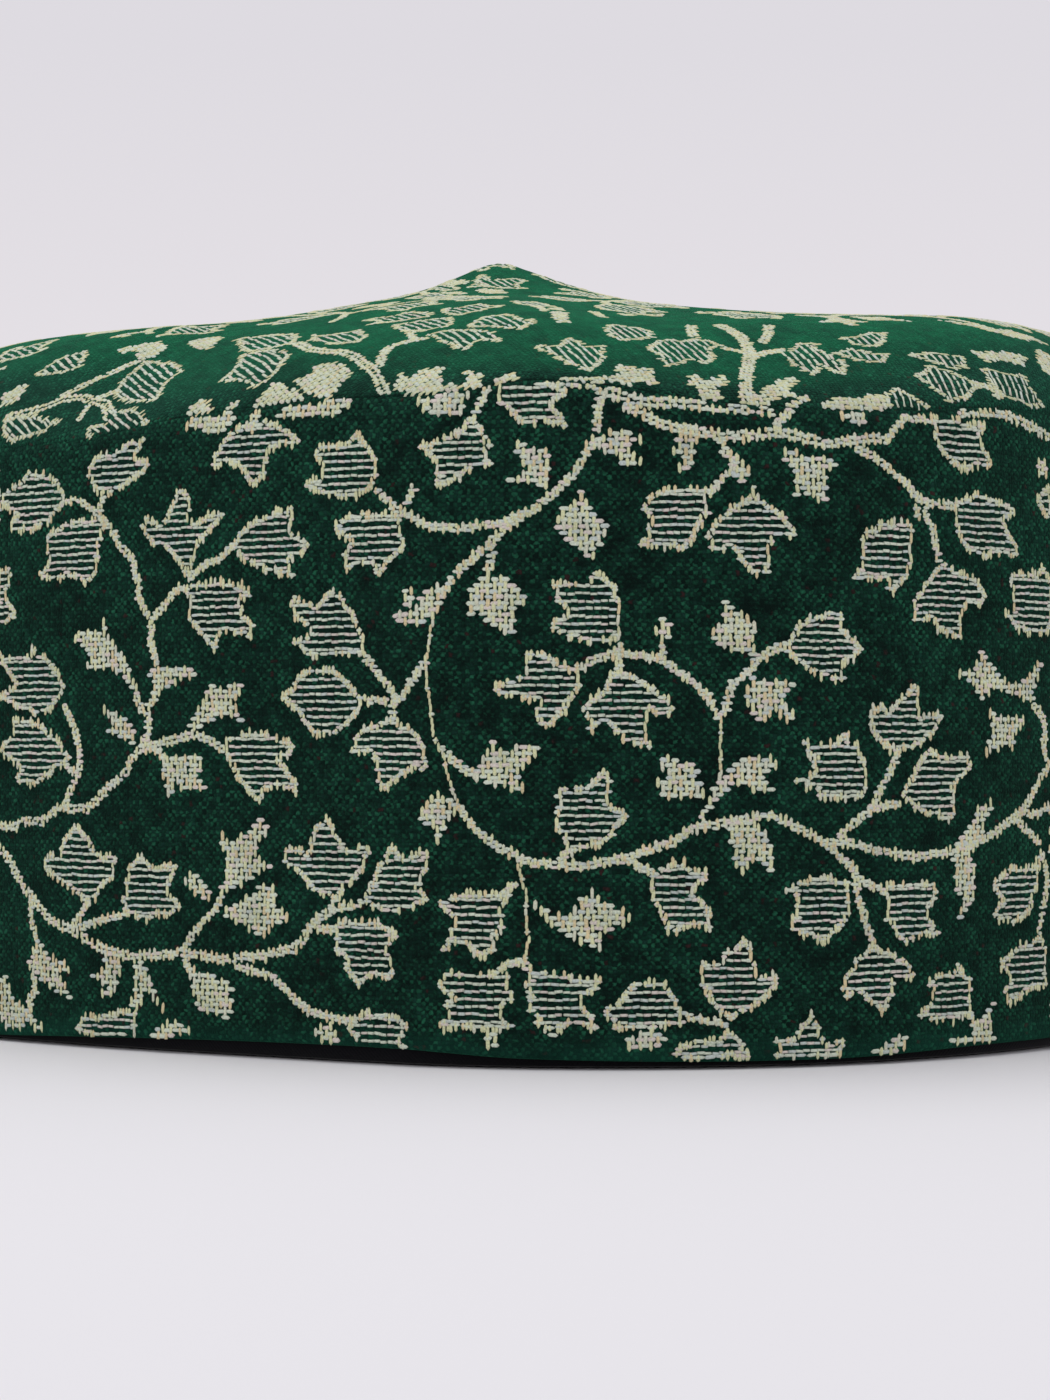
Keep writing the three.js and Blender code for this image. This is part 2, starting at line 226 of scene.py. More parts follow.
    (6.3,58.3, 10.3,58, 11.7,59.7, 12.7,58.7, 13.8,57.8, 14.7,55, 14.7,52.3, 13.3,51.2, 10,51.3, 8,52,
     5.8,53, 6.3,53.8, 8,54, 7.8,55.7, 6.8,56.3),
    (-0.8,45.2, 0,46, 1.3,46.7, 3,47.3, 2.8,50, 5,50, 8,48.3, 9.3,48, 9.7,46, 8,43.3, 7.3,42.3, 5.3,40.8,
     4.3,42.7, 4.8,44.3, 3.3,44.5),
    (10,43.3, 12.3,45.3, 13.7,47.7, 15,47.7, 17,46.5, 19.7,44.8, 21,43.3, 20,42.5, 17.7,43, 17.5,40, 18,38.5,
     14.7,39.5, 12.7,42, 11,40.8, 10.5,42.3),
    (17.2,67.3, 18,68.8, 19.7,69.5, 25,69.5, 24.8,65.7, 23.3,64.7, 23.7,64, 21.8,62, 21,63, 16.7,62.8,
     17.7,64, 18.2,66),
    (25.2,64.2, 26.7,66.3, 29,68, 30.3,68.7, 30.8,70.2, 31.2,68.7, 33.7,67.2, 36.3,64.8, 36,64, 33.3,64.2,
     32.5,59.5, 31,59.5, 28,62.7, 25.7,62.3),
    (35,50.8, 36.7,53.5, 39.3,54.5, 41.3,55, 42.5,55, 42.7,52.7, 45.2,50.7, 45,49.8, 42.3,49, 42.8,47.3,
     42,46.5, 38.3,47.7, 35.7,49.7),
)
BAND_SOLIDS = (
    (-57.5,43.5, -55.5,43, -53.5,41.8, -52,40.5, -52.5,39, -57,40.5, -55.5,41.5),
    (-68.8,13.7, -67.3,12, -64,10.8, -62.2,9.7, -65.3,9, -63.7,8, -62.3,6, -66,7.3, -69.3,8.7, -70.3,10,
     -69.7,11.3),
    (-76.2,7, -75.2,9, -73.3,5.3, -69.3,4.3, -70.3,3.7, -67,1.6, -70.3,2.3, -74,1.6, -76.2,2.7),
    (-56.8,12, -54.5,12, -54.3,10, -55.5,7, -57.8,6.8, -56.3,8, -59.2,8.8, -56.8,10.7),
    (-51.7,12, -50.7,11.5, -48.2,6.5, -46.8,5.7, -47.5,5, -50.2,7.5, -51.8,5.3, -52.8,5.7, -51.9,7.8,
     -51.9,9.5),
    (-44,11, -40,10, -36.2,8.7, -37.3,7.7, -36.8,6.2, -37.3,4.7, -35.7,3.7, -38.7,5.2, -41,5, -42.5,6.7),
    (-62.7,52.7, -61.3,53.5, -58.2,53.2, -57.3,54.8, -56.7,53, -54,50, -53,48.3, -51.5,46.2, -52,45,
     -54.3,47.7, -56.3,48.7, -60.3,48.3, -60,50.8),
    (-48.7,49, -43.3,49, -42.2,47.7, -46,46.7, -49,44.5, -49.3,46.3, -50,47.5),
    (-42.3,43, -41,45, -40,46.7, -39,46, -34.8,46.5, -36.7,44.3, -35.3,41.7, -38.3,42.7, -40,41.7, -44,40.7),
    (-47.7,37.8, -44.5,37.3, -41.5,37.7, -42,35, -40.7,33, -45.5,33.7, -46.7,32.3, -47.8,35.5),
    (-38.8,27.8, -37,26.8, -35.7,27.3, -33.3,29.5, -31.2,29.2, -33.7,25.7, -33,24.6, -31.3,23.7, -35,21.8,
     -38.7,20, -38.3,22, -38.5,25.3),
    (-44.7,21.5, -43,23.2, -41,21.2, -40,19.5, -41,19, -43,20.5),
    (-38.3,18, -36,19.3, -32.7,21.2, -30.2,21, -30.3,19, -28.3,17.5, -31,16, -32.2,14.7, -35.3,16.3,
     -38,17.3),
    (-7.8,33.3, -5,31.3, -6,30.3, -7.7,27.2, -8.3,28.7, -10.3,30.3, -8.7,32.3),
    (-4,35.2, -2.7,36.3, -0.7,39.2, -0.3,38, 1.3,38.3, 2,39.2, 4.8,38.5, 3.7,37, 2.3,35, 3,34, 2.8,33,
     1,33.6, -0.7,34, -2,34.5),
    (-14,54.8, -11,54.8, -10,57, -7.3,58.5, -6.7,57.3, -7.2,55.7, -8.3,54.3, -11,53.2, -12.7,53.8),
    (-12,55.8, -11,56, -11.2,57.6, -12,57.4),
    (-4.2,56.3, -2.7,58.8, -0.3,59.3, 0.7,59.3, 1.3,58.3, 3,57, 3,55.3, 1.7,55.7, 1.7,53.3, 1.3,51.7,
     -0.3,52.7, -2.7,54.7, -4,53.7, -3.7,55.3),
    (-49.5,1.6, -48.3,3.2, -45.7,3.8, -43.7,3.2, -40.7,1.7, -44,2.3, -47.8,1.8),
    (-25,3.2, -24.3,4.5, -22.3,4.5, -20.3,1.7, -23.7,2.7),
    (-1.7,4.3, 0,4.2, 0,2.7, -1.7,2.7),
    (18.8,34.3, 20.2,35.2, 19.3,36, 19.7,37.7, 20.8,37.3, 22.3,36.5, 22.7,38.3, 23.2,36.7, 24.3,35.7,
     23.5,34.8, 25,32.3, 21.3,32.3, 19.2,33),
    (24.8,30.5, 25.3,33, 26.5,35.3, 27.7,35.8, 28.8,37, 31,37.8, 33,37.8, 34.2,36.3, 31.9,35.5, 32.8,34,
     33.3,33, 31,33.5, 28.7,34.2, 27.3,33.2, 25.7,31.4),
    (27.7,29.7, 27.9,27.3, 28.5,24, 29.8,23, 30.2,24.7, 31.3,25, 32.8,23, 33.3,25.7, 32.3,28, 30.7,29.7),
    (3.3,20.7, 5.3,19.3, 8,18.2, 9.7,20.3, 11.2,21.2, 13,20, 15.3,19, 16,18.2, 13.3,16.5, 12.3,16, 12.5,14.2,
     10.3,15, 8,16.3, 5,18.2),
    (15.3,3.8, 16.7,4.4, 21,4.1, 19,2.7, 14.8,2.7),
    (5.6,4.4, 6.8,4.4, 6.4,3.4),
    (1.3,74.8, 2.3,75.3, 5,74.3, 6.2,75.3, 6.3,69.7, 3.3,70.3, 1,70.3, 2,71.3, 3.7,71.8, 2.3,73.2),
    (10,74.3, 11,75.7, 14.3,76.7, 17.7,75.7, 15.2,74.7, 17.2,72.8, 14.7,72.3, 14,73.7, 12.3,74.3),
    (21.7,77.2, 24,77, 23.8,75, 23.3,73.3, 23,71.7, 21.5,71.7, 22,73.8, 20.7,73.8, 21.7,76),
    (27.7,73, 28.7,73.7, 30.2,72.7, 30,70, 29,70.3),
    (34.7,73.5, 35.3,75, 37.7,73.7, 41,73.5, 41.5,72.7, 40,71.7, 40.5,69.7, 40,68, 37,69.7, 36,68.3,
     36.3,72),
    (9.3,70, 10.3,68.7, 11.3,66.7, 13.3,64.7, 11.7,62.7, 11.5,61.3, 10.5,61.3, 8.7,63.3, 6.8,65.3, 7.7,67.7,
     9,67.3),
    (18.3,52.3, 19.2,53, 19.7,54.2, 20.2,53.7, 20.7,52.3, 20,50.8, 19.3,52),
    (25.5,52, 25.7,53, 27.2,54, 26.8,56.3, 28.7,55.3, 30.7,53.5, 31.2,54.7, 31.3,53.3, 30.7,51.3, 31.3,49.5,
     28.3,50.2, 26.7,50.7),
    (30.2,47.3, 32,46.5, 36,46.5, 35,45, 35,43.7, 36,43, 35.8,41.3, 33.3,43, 31.5,41.3, 30.7,42.7, 30,44.3),
    (55.9,1.2, 58,2, 62,2.7, 62.2,4, 64.2,5.2, 66.2,6.7, 65.2,4.3, 65.3,3, 67.3,1.5, 61.3,1.7),
    (45.9,1.2, 48,2.3, 51.2,3.3, 51.2,2, 50,1.2),
    (65.8,32.3, 64.3,31, 63,31, 60.7,28, 59.3,26.7, 59.5,25.4, 58.7,24.7, 59.2,21.3, 60.7,19, 59.7,17.5,
     60.7,17.5, 62.7,20, 62.8,23.3, 62,25, 64,27.3, 63.8,29, 65,30),
    (63.5,37.2, 65.5,40, 65,42.8, 67.7,42.5, 72,42.6, 70,40, 69.7,38, 68.2,38.8, 66,38.3),
    (63.5,51.3, 66.3,48, 68.7,46.8, 71,46.7, 72.7,47.7, 75,49.7, 75,48.7, 73.3,45.7, 73.7,44.3, 72,44.5,
     70,45.3, 65.7,45.8, 63.5,44.2, 62.8,45.3, 63,46.3, 59.3,47.7, 60.7,48.3, 62.7,48.3),
    (74.2,74.8, 77,75.2, 77,73.2, 75,73),
    (40.5,79.9, 42,79.2, 43.5,78.6, 45,77.6, 46,79, 46.8,81.2, 40.5,81.2),
    (-44.4,78.4, -43.6,81.2, -37.4,81.4, -36.8,79.6, -38.4,78.4, -40.2,77.8, -42,78.6),
    (-30.4,80, -29.4,81.6, -20.4,81.8, -20,80.2, -22.4,79.3, -25,79.8, -27.2,79.1, -29.6,79.3),
    (-11.8,82.2, -11,80.2, -9.8,79.4, -7.2,78.8, -5,78.8, -4.4,80, -4,82.2),
)
BAND_STEMS = (
    (1.3, -64.3,44, -62.5,41, -61.7,38.5, -61.5,36, -62,34.5, -63,33.3, -64,31),
    (1, -64,36.3, -62.3,35.2),
    (1.4, -76.5,28.2, -73.3,28, -70.7,29, -68,28.8, -65,30.8, -60,30.5, -56.3,33.7, -54,35, -52.7,37,
     -51.3,38.3, -45,39.7, -42.3,40.2, -40,39.2, -38.3,38.2),
    (1.4, -76.5,25.7, -74.3,24, -71.3,20.3, -69.7,19, -66,16, -62.3,14.9, -57.3,12.7, -52,11.8, -44,12.6,
     -38.7,12, -32,12.7, -27,14, -25.3,16.7, -22,18.7, -18,19.7),
    (1.1, -62.3,15.3, -60.7,17, -59.7,18.5),
    (1.1, -61,15.3, -58,16.2, -55.3,16.8, -53.3,17.5),
    (1.1, -69.7,18.7, -69.7,16, -68.7,13.7),
    (0.8, -69.3,8.7, -69,6.7, -70.3,5.7, -70,4.3),
    (1.1, -44.5,12.8, -43,15, -41,17, -39.3,18.3, -38.5,20),
    (1, -24.3,16.3, -22,16.2),
    (1, -21.6,20, -22.3,18.7),
    (1.2, -36.3,11.2, -33,10.6, -31,10.2, -27,7, -25.3,6, -22,5.3, -19,5.2),
    (1, -52,45, -51.2,43.6, -49.8,42, -50,40, -51,39),
    (0.9, -49,44.8, -50,43.5),
    (1.2, -56,66.3, -54.7,64, -52.8,62.7, -51.8,59.3, -51.8,57.7, -49.7,54.8, -49.3,53, -49.8,52.3,
     -48.5,49),
    (1.2, -63.8,70.5, -61.3,70.3, -58.7,68.7, -56,66.3),
    (1.1, -57.5,71, -58,69.3, -58.3,68.3),
    (1.1, -49.6,54.8, -48,56, -45.3,58.7, -44,58.5),
    (1.1, -43.6,59.8, -40.7,61.7, -39,62, -36.7,63.8),
    (1.3, -16,70, -13.7,67.8, -10.7,66.2, -8.7,65.2, -3.7,65, 0.7,65.7, 3.7,67),
    (0.9, -12,68, -10.8,70.2),
    (1.1, -17.5,49.8, -16,48, -13.7,45.5, -13.3,44.6),
    (0.9, -18,44.3, -14.3,44.3),
    (0.9, -13.5,44, -13.6,41.8),
    (1, -13.4,43.9, -12.3,44.7, -10,48, -9,49),
    (0.5, -8.3,54, -9,50, -9.2,48, -9,46, -8.3,41.7, -8.2,40, -7,37.7, -6,33.7, -4.7,30.7),
    (1.3, -5,31.6, -3.7,29.3, -2.3,28, -0.7,26.8, 1,26, 3.3,24.8, 10,24.3, 14.7,25.2, 18.7,26.5, 20.7,27.2,
     23.3,29, 26.3,29.3, 31,30.3, 33.3,30.3, 36.7,28.7, 40,27, 43.3,27, 48,25.7, 53.3,25, 58.7,25.7,
     63.3,26.7, 68,28.8, 72,31, 75,34.7, 77.2,36.5),
    (1.1, -7.2,38.6, -6,37.1, -4,35.8, -3,35.3),
    (1.3, -7,57.3, -5,60, -1.7,62.7, 0,64.3, 3.7,67, 5.3,68, 8.3,70.7, 10.3,73.7, 11.3,75),
    (0.9, -1.2,63, -1,61.3, -1.5,59.7),
    (1.2, -3.3,78.8, -2,81, -1.7,82.3),
    (1.4, -34.4,78, -34,79.4, -33.4,80.6),
    (1.2, 24.6,29, 24.5,30, 24.8,31),
    (1, 15.5,25, 16.7,24.3, 18.2,23.6),
    (1, 7.5,25, 8,26.3),
    (0.5, 2,24.6, 2.7,22.7, 3.2,20.7, 3.3,16.7, 3.5,15.3, 3,13),
    (1, 0.6,12.4, 2.7,13, 3.7,12),
    (1.2, 40.4,26.8, 42,25.3, 43.7,24, 44.4,22.7, 44.5,20.3),
    (0.8, 44.5,20.3, 45.2,18.7, 45.5,17, 46.3,15.7, 46.7,14.3),
    (1.1, 44.6,22.6, 46.3,21.7, 48.3,21),
    (1.3, 42,27.7, 43.3,28.7, 45,30, 46.7,31, 50.7,31.8),
    (1, 46.7,31, 47.3,32.7, 49,35.3, 50,37, 50.3,38.3),
    (1.2, 21.8,6.5, 25.3,5.7, 27.3,5.3),
    (1.2, 61.7,5.2, 62.5,4),
    (1.1, 70,29.5, 72.3,27.9, 75,26.3),
    (1.2, 74.2,23.7, 75.3,25, 76,24, 76.8,22, 76.5,19.5, 75.6,17, 75,14.7),
    (1.1, 71,30.3, 73.3,30, 77.2,30.8),
    (1.4, 73.4,44, 75.5,42.3, 76,40.5, 75.6,38.7, 76.5,36.5),
    (1.5, 60.3,80, 62.7,80.6, 68.3,80.7, 72.3,79.7, 77.2,78.3),
    (1.5, 40,75.4, 44,76, 46.7,76.3, 49.3,76.3),
    (1.2, 48.9,76.5, 50.3,78, 51.7,79.2, 55.2,79),
    (1.2, 44.3,75, 47,74, 50.3,71.7, 51.7,70.7, 53,69.3),
    (1.2, 53,69.3, 54.7,68.7, 59.3,68.5),
    (1, 53,68.3, 53,66.8),
    (1.1, 54.3,68.3, 54.4,66.7, 55.3,66, 56,63.3, 56.5,61.5),
    (1.2, 11.7,76.7, 11.7,78.3, 12.3,81.3),
    (1.6, 7,82.6, 11,82.3, 14.3,80.9, 16.7,80.2, 24.7,79.8, 30,79.5, 33.5,79.2),
    (1.5, 15,79.6, 18,78.2, 20,77.3, 25,76.3, 28.3,76, 33.7,76.7, 36.7,76.2, 40,75.6),
    (1.3, 33.6,77.2, 35,78.8, 37.2,80.8),
    (1.2, 9.3,48, 12,49.3, 13.7,49.8, 14.7,51),
    (1.2, 14,50, 17.3,49.5, 19.7,49, 23.3,46.3, 25,44.8, 26.4,42.3),
    (0.5, 26.7,42.3, 26.6,38, 26.7,35.5),
    (0.9, 14.2,49.3, 14.4,47.6),
    (1.1, 27.1,42.7, 27.7,44.7, 28.3,46.3, 29.7,47.3, 31,48.3, 31,49.5),
    (1.1, 31.5,49.2, 33.7,50.5, 35,51),
    (1.1, 25.2,69, 27.7,71.7, 28.3,72.7),
    (1.1, 28.6,73.2, 27.3,74, 27,75.5),
    (0.9, 19.6,51, 19.5,49.2),
    (1, -50.2,38.9, -48.6,38.2, -47.3,37.3),
    (1, -44.3,12.2, -43.5,10.6),
)

# The crown's chart near the front: (across, along) from the middle of the crown, -Y to the front
CROWN_LEAVES = (
    (8.9,-82.5, 11,-85.5, 12.1,-85, 13.2,-84.8, 13,-90.9, 11.6,-94.5, 8.9,-92.7, 7.5,-90.9, 6.6,-89.1,
     5.3,-88.2, 4.6,-86.4, 7.3,-85.9),
    (18.9,-84.1, 20.3,-80, 21.6,-78.2, 23.5,-78.2, 25.3,-76.4, 27.1,-76.4, 28.9,-78.6, 27.1,-80, 27.5,-84.5,
     26.4,-86.8, 24.8,-85.9, 22.5,-88.6, 21.2,-90.2, 20.3,-85.5),
    (13.7,-76.4, 14.8,-72.7, 16.2,-73.6, 18.9,-73.6, 19.8,-75.5, 19.6,-78.6, 17.5,-80.9, 15.3,-81.8,
     14.1,-80),
    (36.6,-80, 36.2,-77.7, 38,-77.3, 38.9,-74.5, 41.2,-74.1, 41.2,-76.4, 44.8,-80, 44.8,-83.9, 41.6,-82.3,
     40.3,-85.7, 37.5,-82.3),
    (53.9,-80, 55.3,-78.2, 56.2,-75.9, 58.5,-75.5, 63.9,-75.9, 61.6,-80.9, 59.4,-83, 56.2,-80.9),
    (63.9,-71.8, 64.8,-70.5, 68.9,-69.1, 70.7,-67.7, 71.6,-70, 74.4,-71.4, 72.5,-73.6, 67.5,-75.9,
     65.3,-74.5),
    (47.3,-88, 50.7,-85.9, 51.6,-84.1, 53.5,-85, 56.4,-85.5, 55,-89, 51,-91, 48.5,-91),
    (43.5,-77.3, 46,-75, 48.5,-75.5, 50.7,-74.8, 50.3,-77.5, 48.5,-79, 46,-78.5),
    (44.5,-71, 47,-69.5, 49,-66.5, 51,-66, 50.7,-70, 49.5,-73, 47,-73.5),
    (53,-74.1, 55.3,-72.3, 61.2,-69.5, 61.6,-72.7, 59.4,-74.6),
    (-53.7,-61.4, -53,-58.2, -51.2,-55.9, -49.8,-53.6, -47.1,-56.4, -45.3,-58.2, -43.7,-62.7, -46.2,-64.5,
     -47.3,-70, -50.3,-67.7, -52.1,-65.5),
    (-38,-73, -35.7,-69.1, -35.5,-64.1, -31.6,-65.9, -29.4,-69.1, -28.5,-71.8, -29.8,-75.9, -31.2,-78.6,
     -33,-78.9, -35.3,-75),
    (-36.9,-53.2, -31.2,-56.4, -28.9,-58.2, -28,-61.4, -28.5,-65.3, -31.2,-65.3, -33.9,-64.1, -35.7,-61.8,
     -36.2,-58.2),
    (-25.7,-61.4, -24.4,-64.1, -21.2,-65, -19.4,-64.1, -18,-70.9, -18.9,-73.2, -22.5,-71.8, -25.7,-65.9),
    (-14.6,-65, -9.8,-65, -7.1,-66.4, -6.2,-69.5, -7.1,-72.7, -9.8,-73.2, -12.5,-71.8, -13.9,-69.1),
    (-9.8,-75.5, -7.1,-75, -2.5,-77.3, -0.7,-80.9, 0.2,-84.3, -1.6,-81.8, -3.5,-82.3, -4.6,-84.8, -8,-79.1),
    (-4.4,-75, -3.5,-71.4, -1.6,-69.1, 1.1,-70, 2.5,-74.1, 4.4,-73.6, 3.9,-76.8, 2.5,-79.1, -1.1,-76.4),
    (-55.5,-65.9, -54.4,-65.5, -53,-67.7, -51.2,-69.1, -48.5,-75, -52.5,-74.5, -58.5,-71.4, -58.5,-67.7,
     -55.3,-69.5),
    (-71.4,-55, -70.3,-55.5, -66.6,-58.6, -62.3,-63.2, -65.7,-63.2, -70.7,-60.9, -72.1,-58.6),
    (-66.2,-47.3, -62,-44, -58.6,-44.5, -59.5,-50.3, -63.6,-49.5),
)
CROWN_SOLIDS = (
    (14.8,-91.1, 16.2,-91.8, 19.4,-91.4, 19.8,-95.7, 17.1,-95.7, 16.2,-97, 14.8,-95.9),
    (23.9,-95, 24.1,-92.3, 25,-91.1, 26.2,-92.3, 27.5,-91.4, 28.5,-89.5, 28.9,-91.8, 28,-93.6, 29.4,-97,
     26.2,-97, 25.3,-94.5),
    (32.5,-96, 32.5,-94.1, 34.4,-90.9, 37.1,-87.5, 38.9,-87.3, 36.6,-91.4, 38.9,-91.4, 35.7,-93.6,
     34.4,-95.7),
    (62.5,-66.8, 65.3,-65.5, 68.9,-62.7, 71.2,-61.8, 70.3,-65.9, 67.5,-66.4, 64.8,-69.1),
    (72.5,-60.5, 74.5,-56, 76,-58, 75.5,-63, 73.5,-63.5),
    (-71.6,-49.1, -68.9,-49.1, -67.1,-50, -69.4,-53.2, -71.6,-52.3),
    (-53.9,-46.8, -49.8,-46.4, -48,-46.8, -47.1,-49.1, -48.5,-53.2, -50.7,-52.3, -51.2,-49.1, -53.5,-48.6),
    (-44.6,-49.1, -42.5,-48.2, -40.3,-49.1, -39.4,-50.5, -40.7,-55.9, -42.5,-54.5),
    (-27.5,-80.9, -25.3,-80.9, -24.4,-78.6, -22.5,-79.5, -19.8,-82.3, -19.8,-85, -21.6,-87.3, -22.5,-88.9,
     -24.4,-87.3, -25.7,-85),
    (-13,-88.2, -12.1,-90.5, -10.3,-88.6, -7.1,-88.9, -8,-91.4, -7.1,-94.1, -9.8,-94.5, -13.9,-91.8),
    (-5.3,-95.3, -3.5,-92.7, -2.5,-93.6, -2.5,-96),
    (-0.5,-95, 2,-94.3, 2.5,-97, -1,-97),
    (-43.2,-79.6, -42.4,-77, -41,-76.2, -39.4,-78, -39.6,-81.4, -41,-81.4, -42.6,-80.8),
    (-33.8,-84.6, -32.6,-82, -30.4,-80, -29.2,-80.8, -27.4,-83.8, -26,-87, -28.6,-87, -30,-84.8, -31.8,-84.8,
     -33,-85.8),
    (-12.4,-92.6, -8.4,-93.6, -5.6,-94, -4.4,-96.8, -11,-96.6),
    (41.6,-92.4, 43.4,-90.4, 45.6,-89.6, 48.6,-87.4, 50.4,-86.4, 51,-88.8, 48.4,-90.6, 46.6,-92.8, 44,-93.8),
    (6.5,-66, 8.6,-66, 8.8,-75, 7.4,-76),
)
CROWN_STEMS = (
    (1.9, 31.9,-96, 31.4,-91.4, 31.6,-88.2, 32.1,-84.5, 32.3,-80.9, 32.1,-77.3, 31.6,-73.6, 30.7,-70.9,
     29,-66),
    (1.5, 32.3,-82.3, 34.4,-79.5, 36.4,-78.2),
    (1.3, 29,-79.3, 31.4,-80.5),
    (1.5, 34.2,-75.5, 35.3,-70.9, 35.7,-65.5),
    (1.5, 25.3,-75.5, 25,-71.8, 25.3,-67.3),
    (1.7, -28,-65.5, -25.7,-71.4, -23.5,-74.5, -21.2,-76.4, -19.4,-79.1, -18,-82.3, -16.6,-85.5, -15.7,-88.6,
     -15,-92.5),
    (1.5, -16,-84.5, -15.5,-80.9, -14.6,-78.2, -12.1,-77.3, -9.8,-77.3),
    (1.4, -12.1,-72.7, -11.4,-77),
    (1.8, -71.2,-55.5, -64.8,-57.7, -61.6,-57.7, -58.9,-59.1, -57.1,-61.4, -55.3,-63.6, -54.8,-65.9),
    (1.5, -62.1,-56.8, -54.4,-54.5, -51.2,-53.2, -48.9,-51.4),
    (1.5, -56.6,-60.9, -53.5,-60.9),
    (1.2, -59.4,-65, -58,-62.3),
    (1.5, 7.5,-97.2, 12,-96.6, 15,-95.4),
    (1.4, 62.5,-76.4, 65.7,-75.4, 67,-75.6, 66.2,-77),
    (1.5, -38.8,-82.4, -37,-81.6, -35.4,-81),
    (1.2, -4.3,-91.8, -3.6,-94, -3,-96.2),
    (1.3, 37.2,-94.6, 38.6,-93, 39.6,-91.8),
)
# Where the crown's front chart ends towards the back: (across, along)
CHART_EDGE = (
    (-76, -43), (-50, -45), (-35, -51), (-15, -62), (0, -67), (15, -70), (35, -64), (50, -64), (76, -54),
)
CHART_LEFT, CHART_RIGHT = -76.5, 77.2
CHART_HEIGHT = 81.0
CHART_SIDE = 76
# How far from the crown's middle a stem or another figure of the band's chart may lie
STEM_RIM, FIGURE_RIM = 112, 104
BACK_REPEATS = 3
# The rows of the band's chart on the rest of the crown: how many heights up, and moved along by
CROWN_ROWS = ((-2, 20), (-1, 95), (0, 40), (1, 120))
CROWN_ROW_START = 12


def points_of(flat):
    """A chart's figure as an array of points."""
    return np.reshape(flat, (-1, 2)).astype(float)


def chart_of(leaves, solids, stems):
    """A chart's leaves and solid figures as outlines, and its stems as widths and lines."""
    lines = [(width, points_of(f)) for width, *f in stems]
    return [points_of(f) for f in leaves], [points_of(f) for f in solids], lines


BAND_CHART = chart_of(BAND_LEAVES, BAND_SOLIDS, BAND_STEMS)
CROWN_CHART = chart_of(CROWN_LEAVES, CROWN_SOLIDS, CROWN_STEMS)


def wrapped(degrees):
    return (np.asarray(degrees, float) + 180) % 360 - 180


def polar(degrees, reach):
    """Places at a distance from the middle: 0 degrees is the front and 90 is towards +X."""
    a = np.radians(degrees)
    return np.stack([reach * np.sin(a), -reach * np.cos(a)], -1)


def around(table, degrees):
    """A smooth closed curve through a short table of degrees and value."""
    table = np.asarray(table, float)
    base = np.concatenate([table[-2:, 0] - 360, table[:, 0], table[:2, 0] + 360])
    value = np.concatenate([table[-2:, 1], table[:, 1], table[:2, 1]])
    d = wrapped(degrees)
    i = np.clip(np.searchsorted(base, d, side="right") - 1, 1, len(base) - 3)
    step = base[i + 1] - base[i]
    slope_0 = (value[i + 1] - value[i - 1]) / (base[i + 1] - base[i - 1])
    slope_1 = (value[i + 2] - value[i]) / (base[i + 2] - base[i])
    t = (d - base[i]) / step
    return (
        (2 * t**3 - 3 * t**2 + 1) * value[i]
        + (t**3 - 2 * t**2 + t) * step * slope_0
        + (3 * t**2 - 2 * t**3) * value[i + 1]
        + (t**3 - t**2) * step * slope_1
    )


# The outline as a line of points with its length and outward direction, for the band's cloth
ANGLES = np.linspace(-180, 180, 3601)
LINE = polar(ANGLES, around(OUTLINE, ANGLES))
LINE_LENGTH = np.concatenate([[0], np.cumsum(np.hypot(*np.diff(LINE, axis=0).T))])
ROUND = LINE_LENGTH[-1]
LINE_LENGTH = LINE_LENGTH - np.interp(0.0, ANGLES, LINE_LENGTH)
SLOPE = np.gradient(LINE, axis=0)
OUTWARD = np.stack([SLOPE[:, 1], -SLOPE[:, 0]], -1)
OUTWARD /= np.linalg.norm(OUTWARD, axis=1, keepdims=True)


def angle_at(along):
    """Degrees round the band at a cloth distance from the front."""
    half = -LINE_LENGTH[0]
    return np.interp((np.asarray(along, float) + half) % ROUND - half, LINE_LENGTH, ANGLES)


def soft_waves(a, b):
    """The small unevenness of worn cloth, in millimetres."""
    wide = 0.20 * np.sin(a / 15.0 + b / 21.0)
    return wide + 0.13 * np.sin(a / 6.1 - b / 9.0 + 1.7) + 0.10 * np.sin(b / 5.3 + a / 31.0)


def pinch_at(out):
    """How much of the seam's crease reaches a layer of the cloth: all at its face, none at its back."""
    return np.clip(1 + np.asarray(out) / CLOTH, 0, 1)


def band_surface(along, up, out=0.0):
    """A point of the band's cloth, a distance out from its face."""
    degrees = angle_at(along)
    x, y, nx, ny = (np.interp(degrees, ANGLES, part) for part in (*LINE.T, *OUTWARD.T))
    seam, hem = around(SEAM, degrees), around(HEM, degrees)
    up = np.maximum(up, hem)
    over = np.maximum(up - seam, 0)
    crease = CREASE_DEPTH * np.exp(np.minimum(up - seam, 0) / CREASE_WIDTH) * pinch_at(out)
    calm = np.clip((up - hem) / CALM_EDGE, 0, 1) * np.clip((seam - up) / CALM_EDGE, 0, 1)
    push = out - crease + soft_waves(np.radians(degrees) * MEAN_RADIUS, up) * calm - OVER_IN * over
    return np.stack([x + nx * push, y + ny * push, up - OVER_DOWN * over], -1)


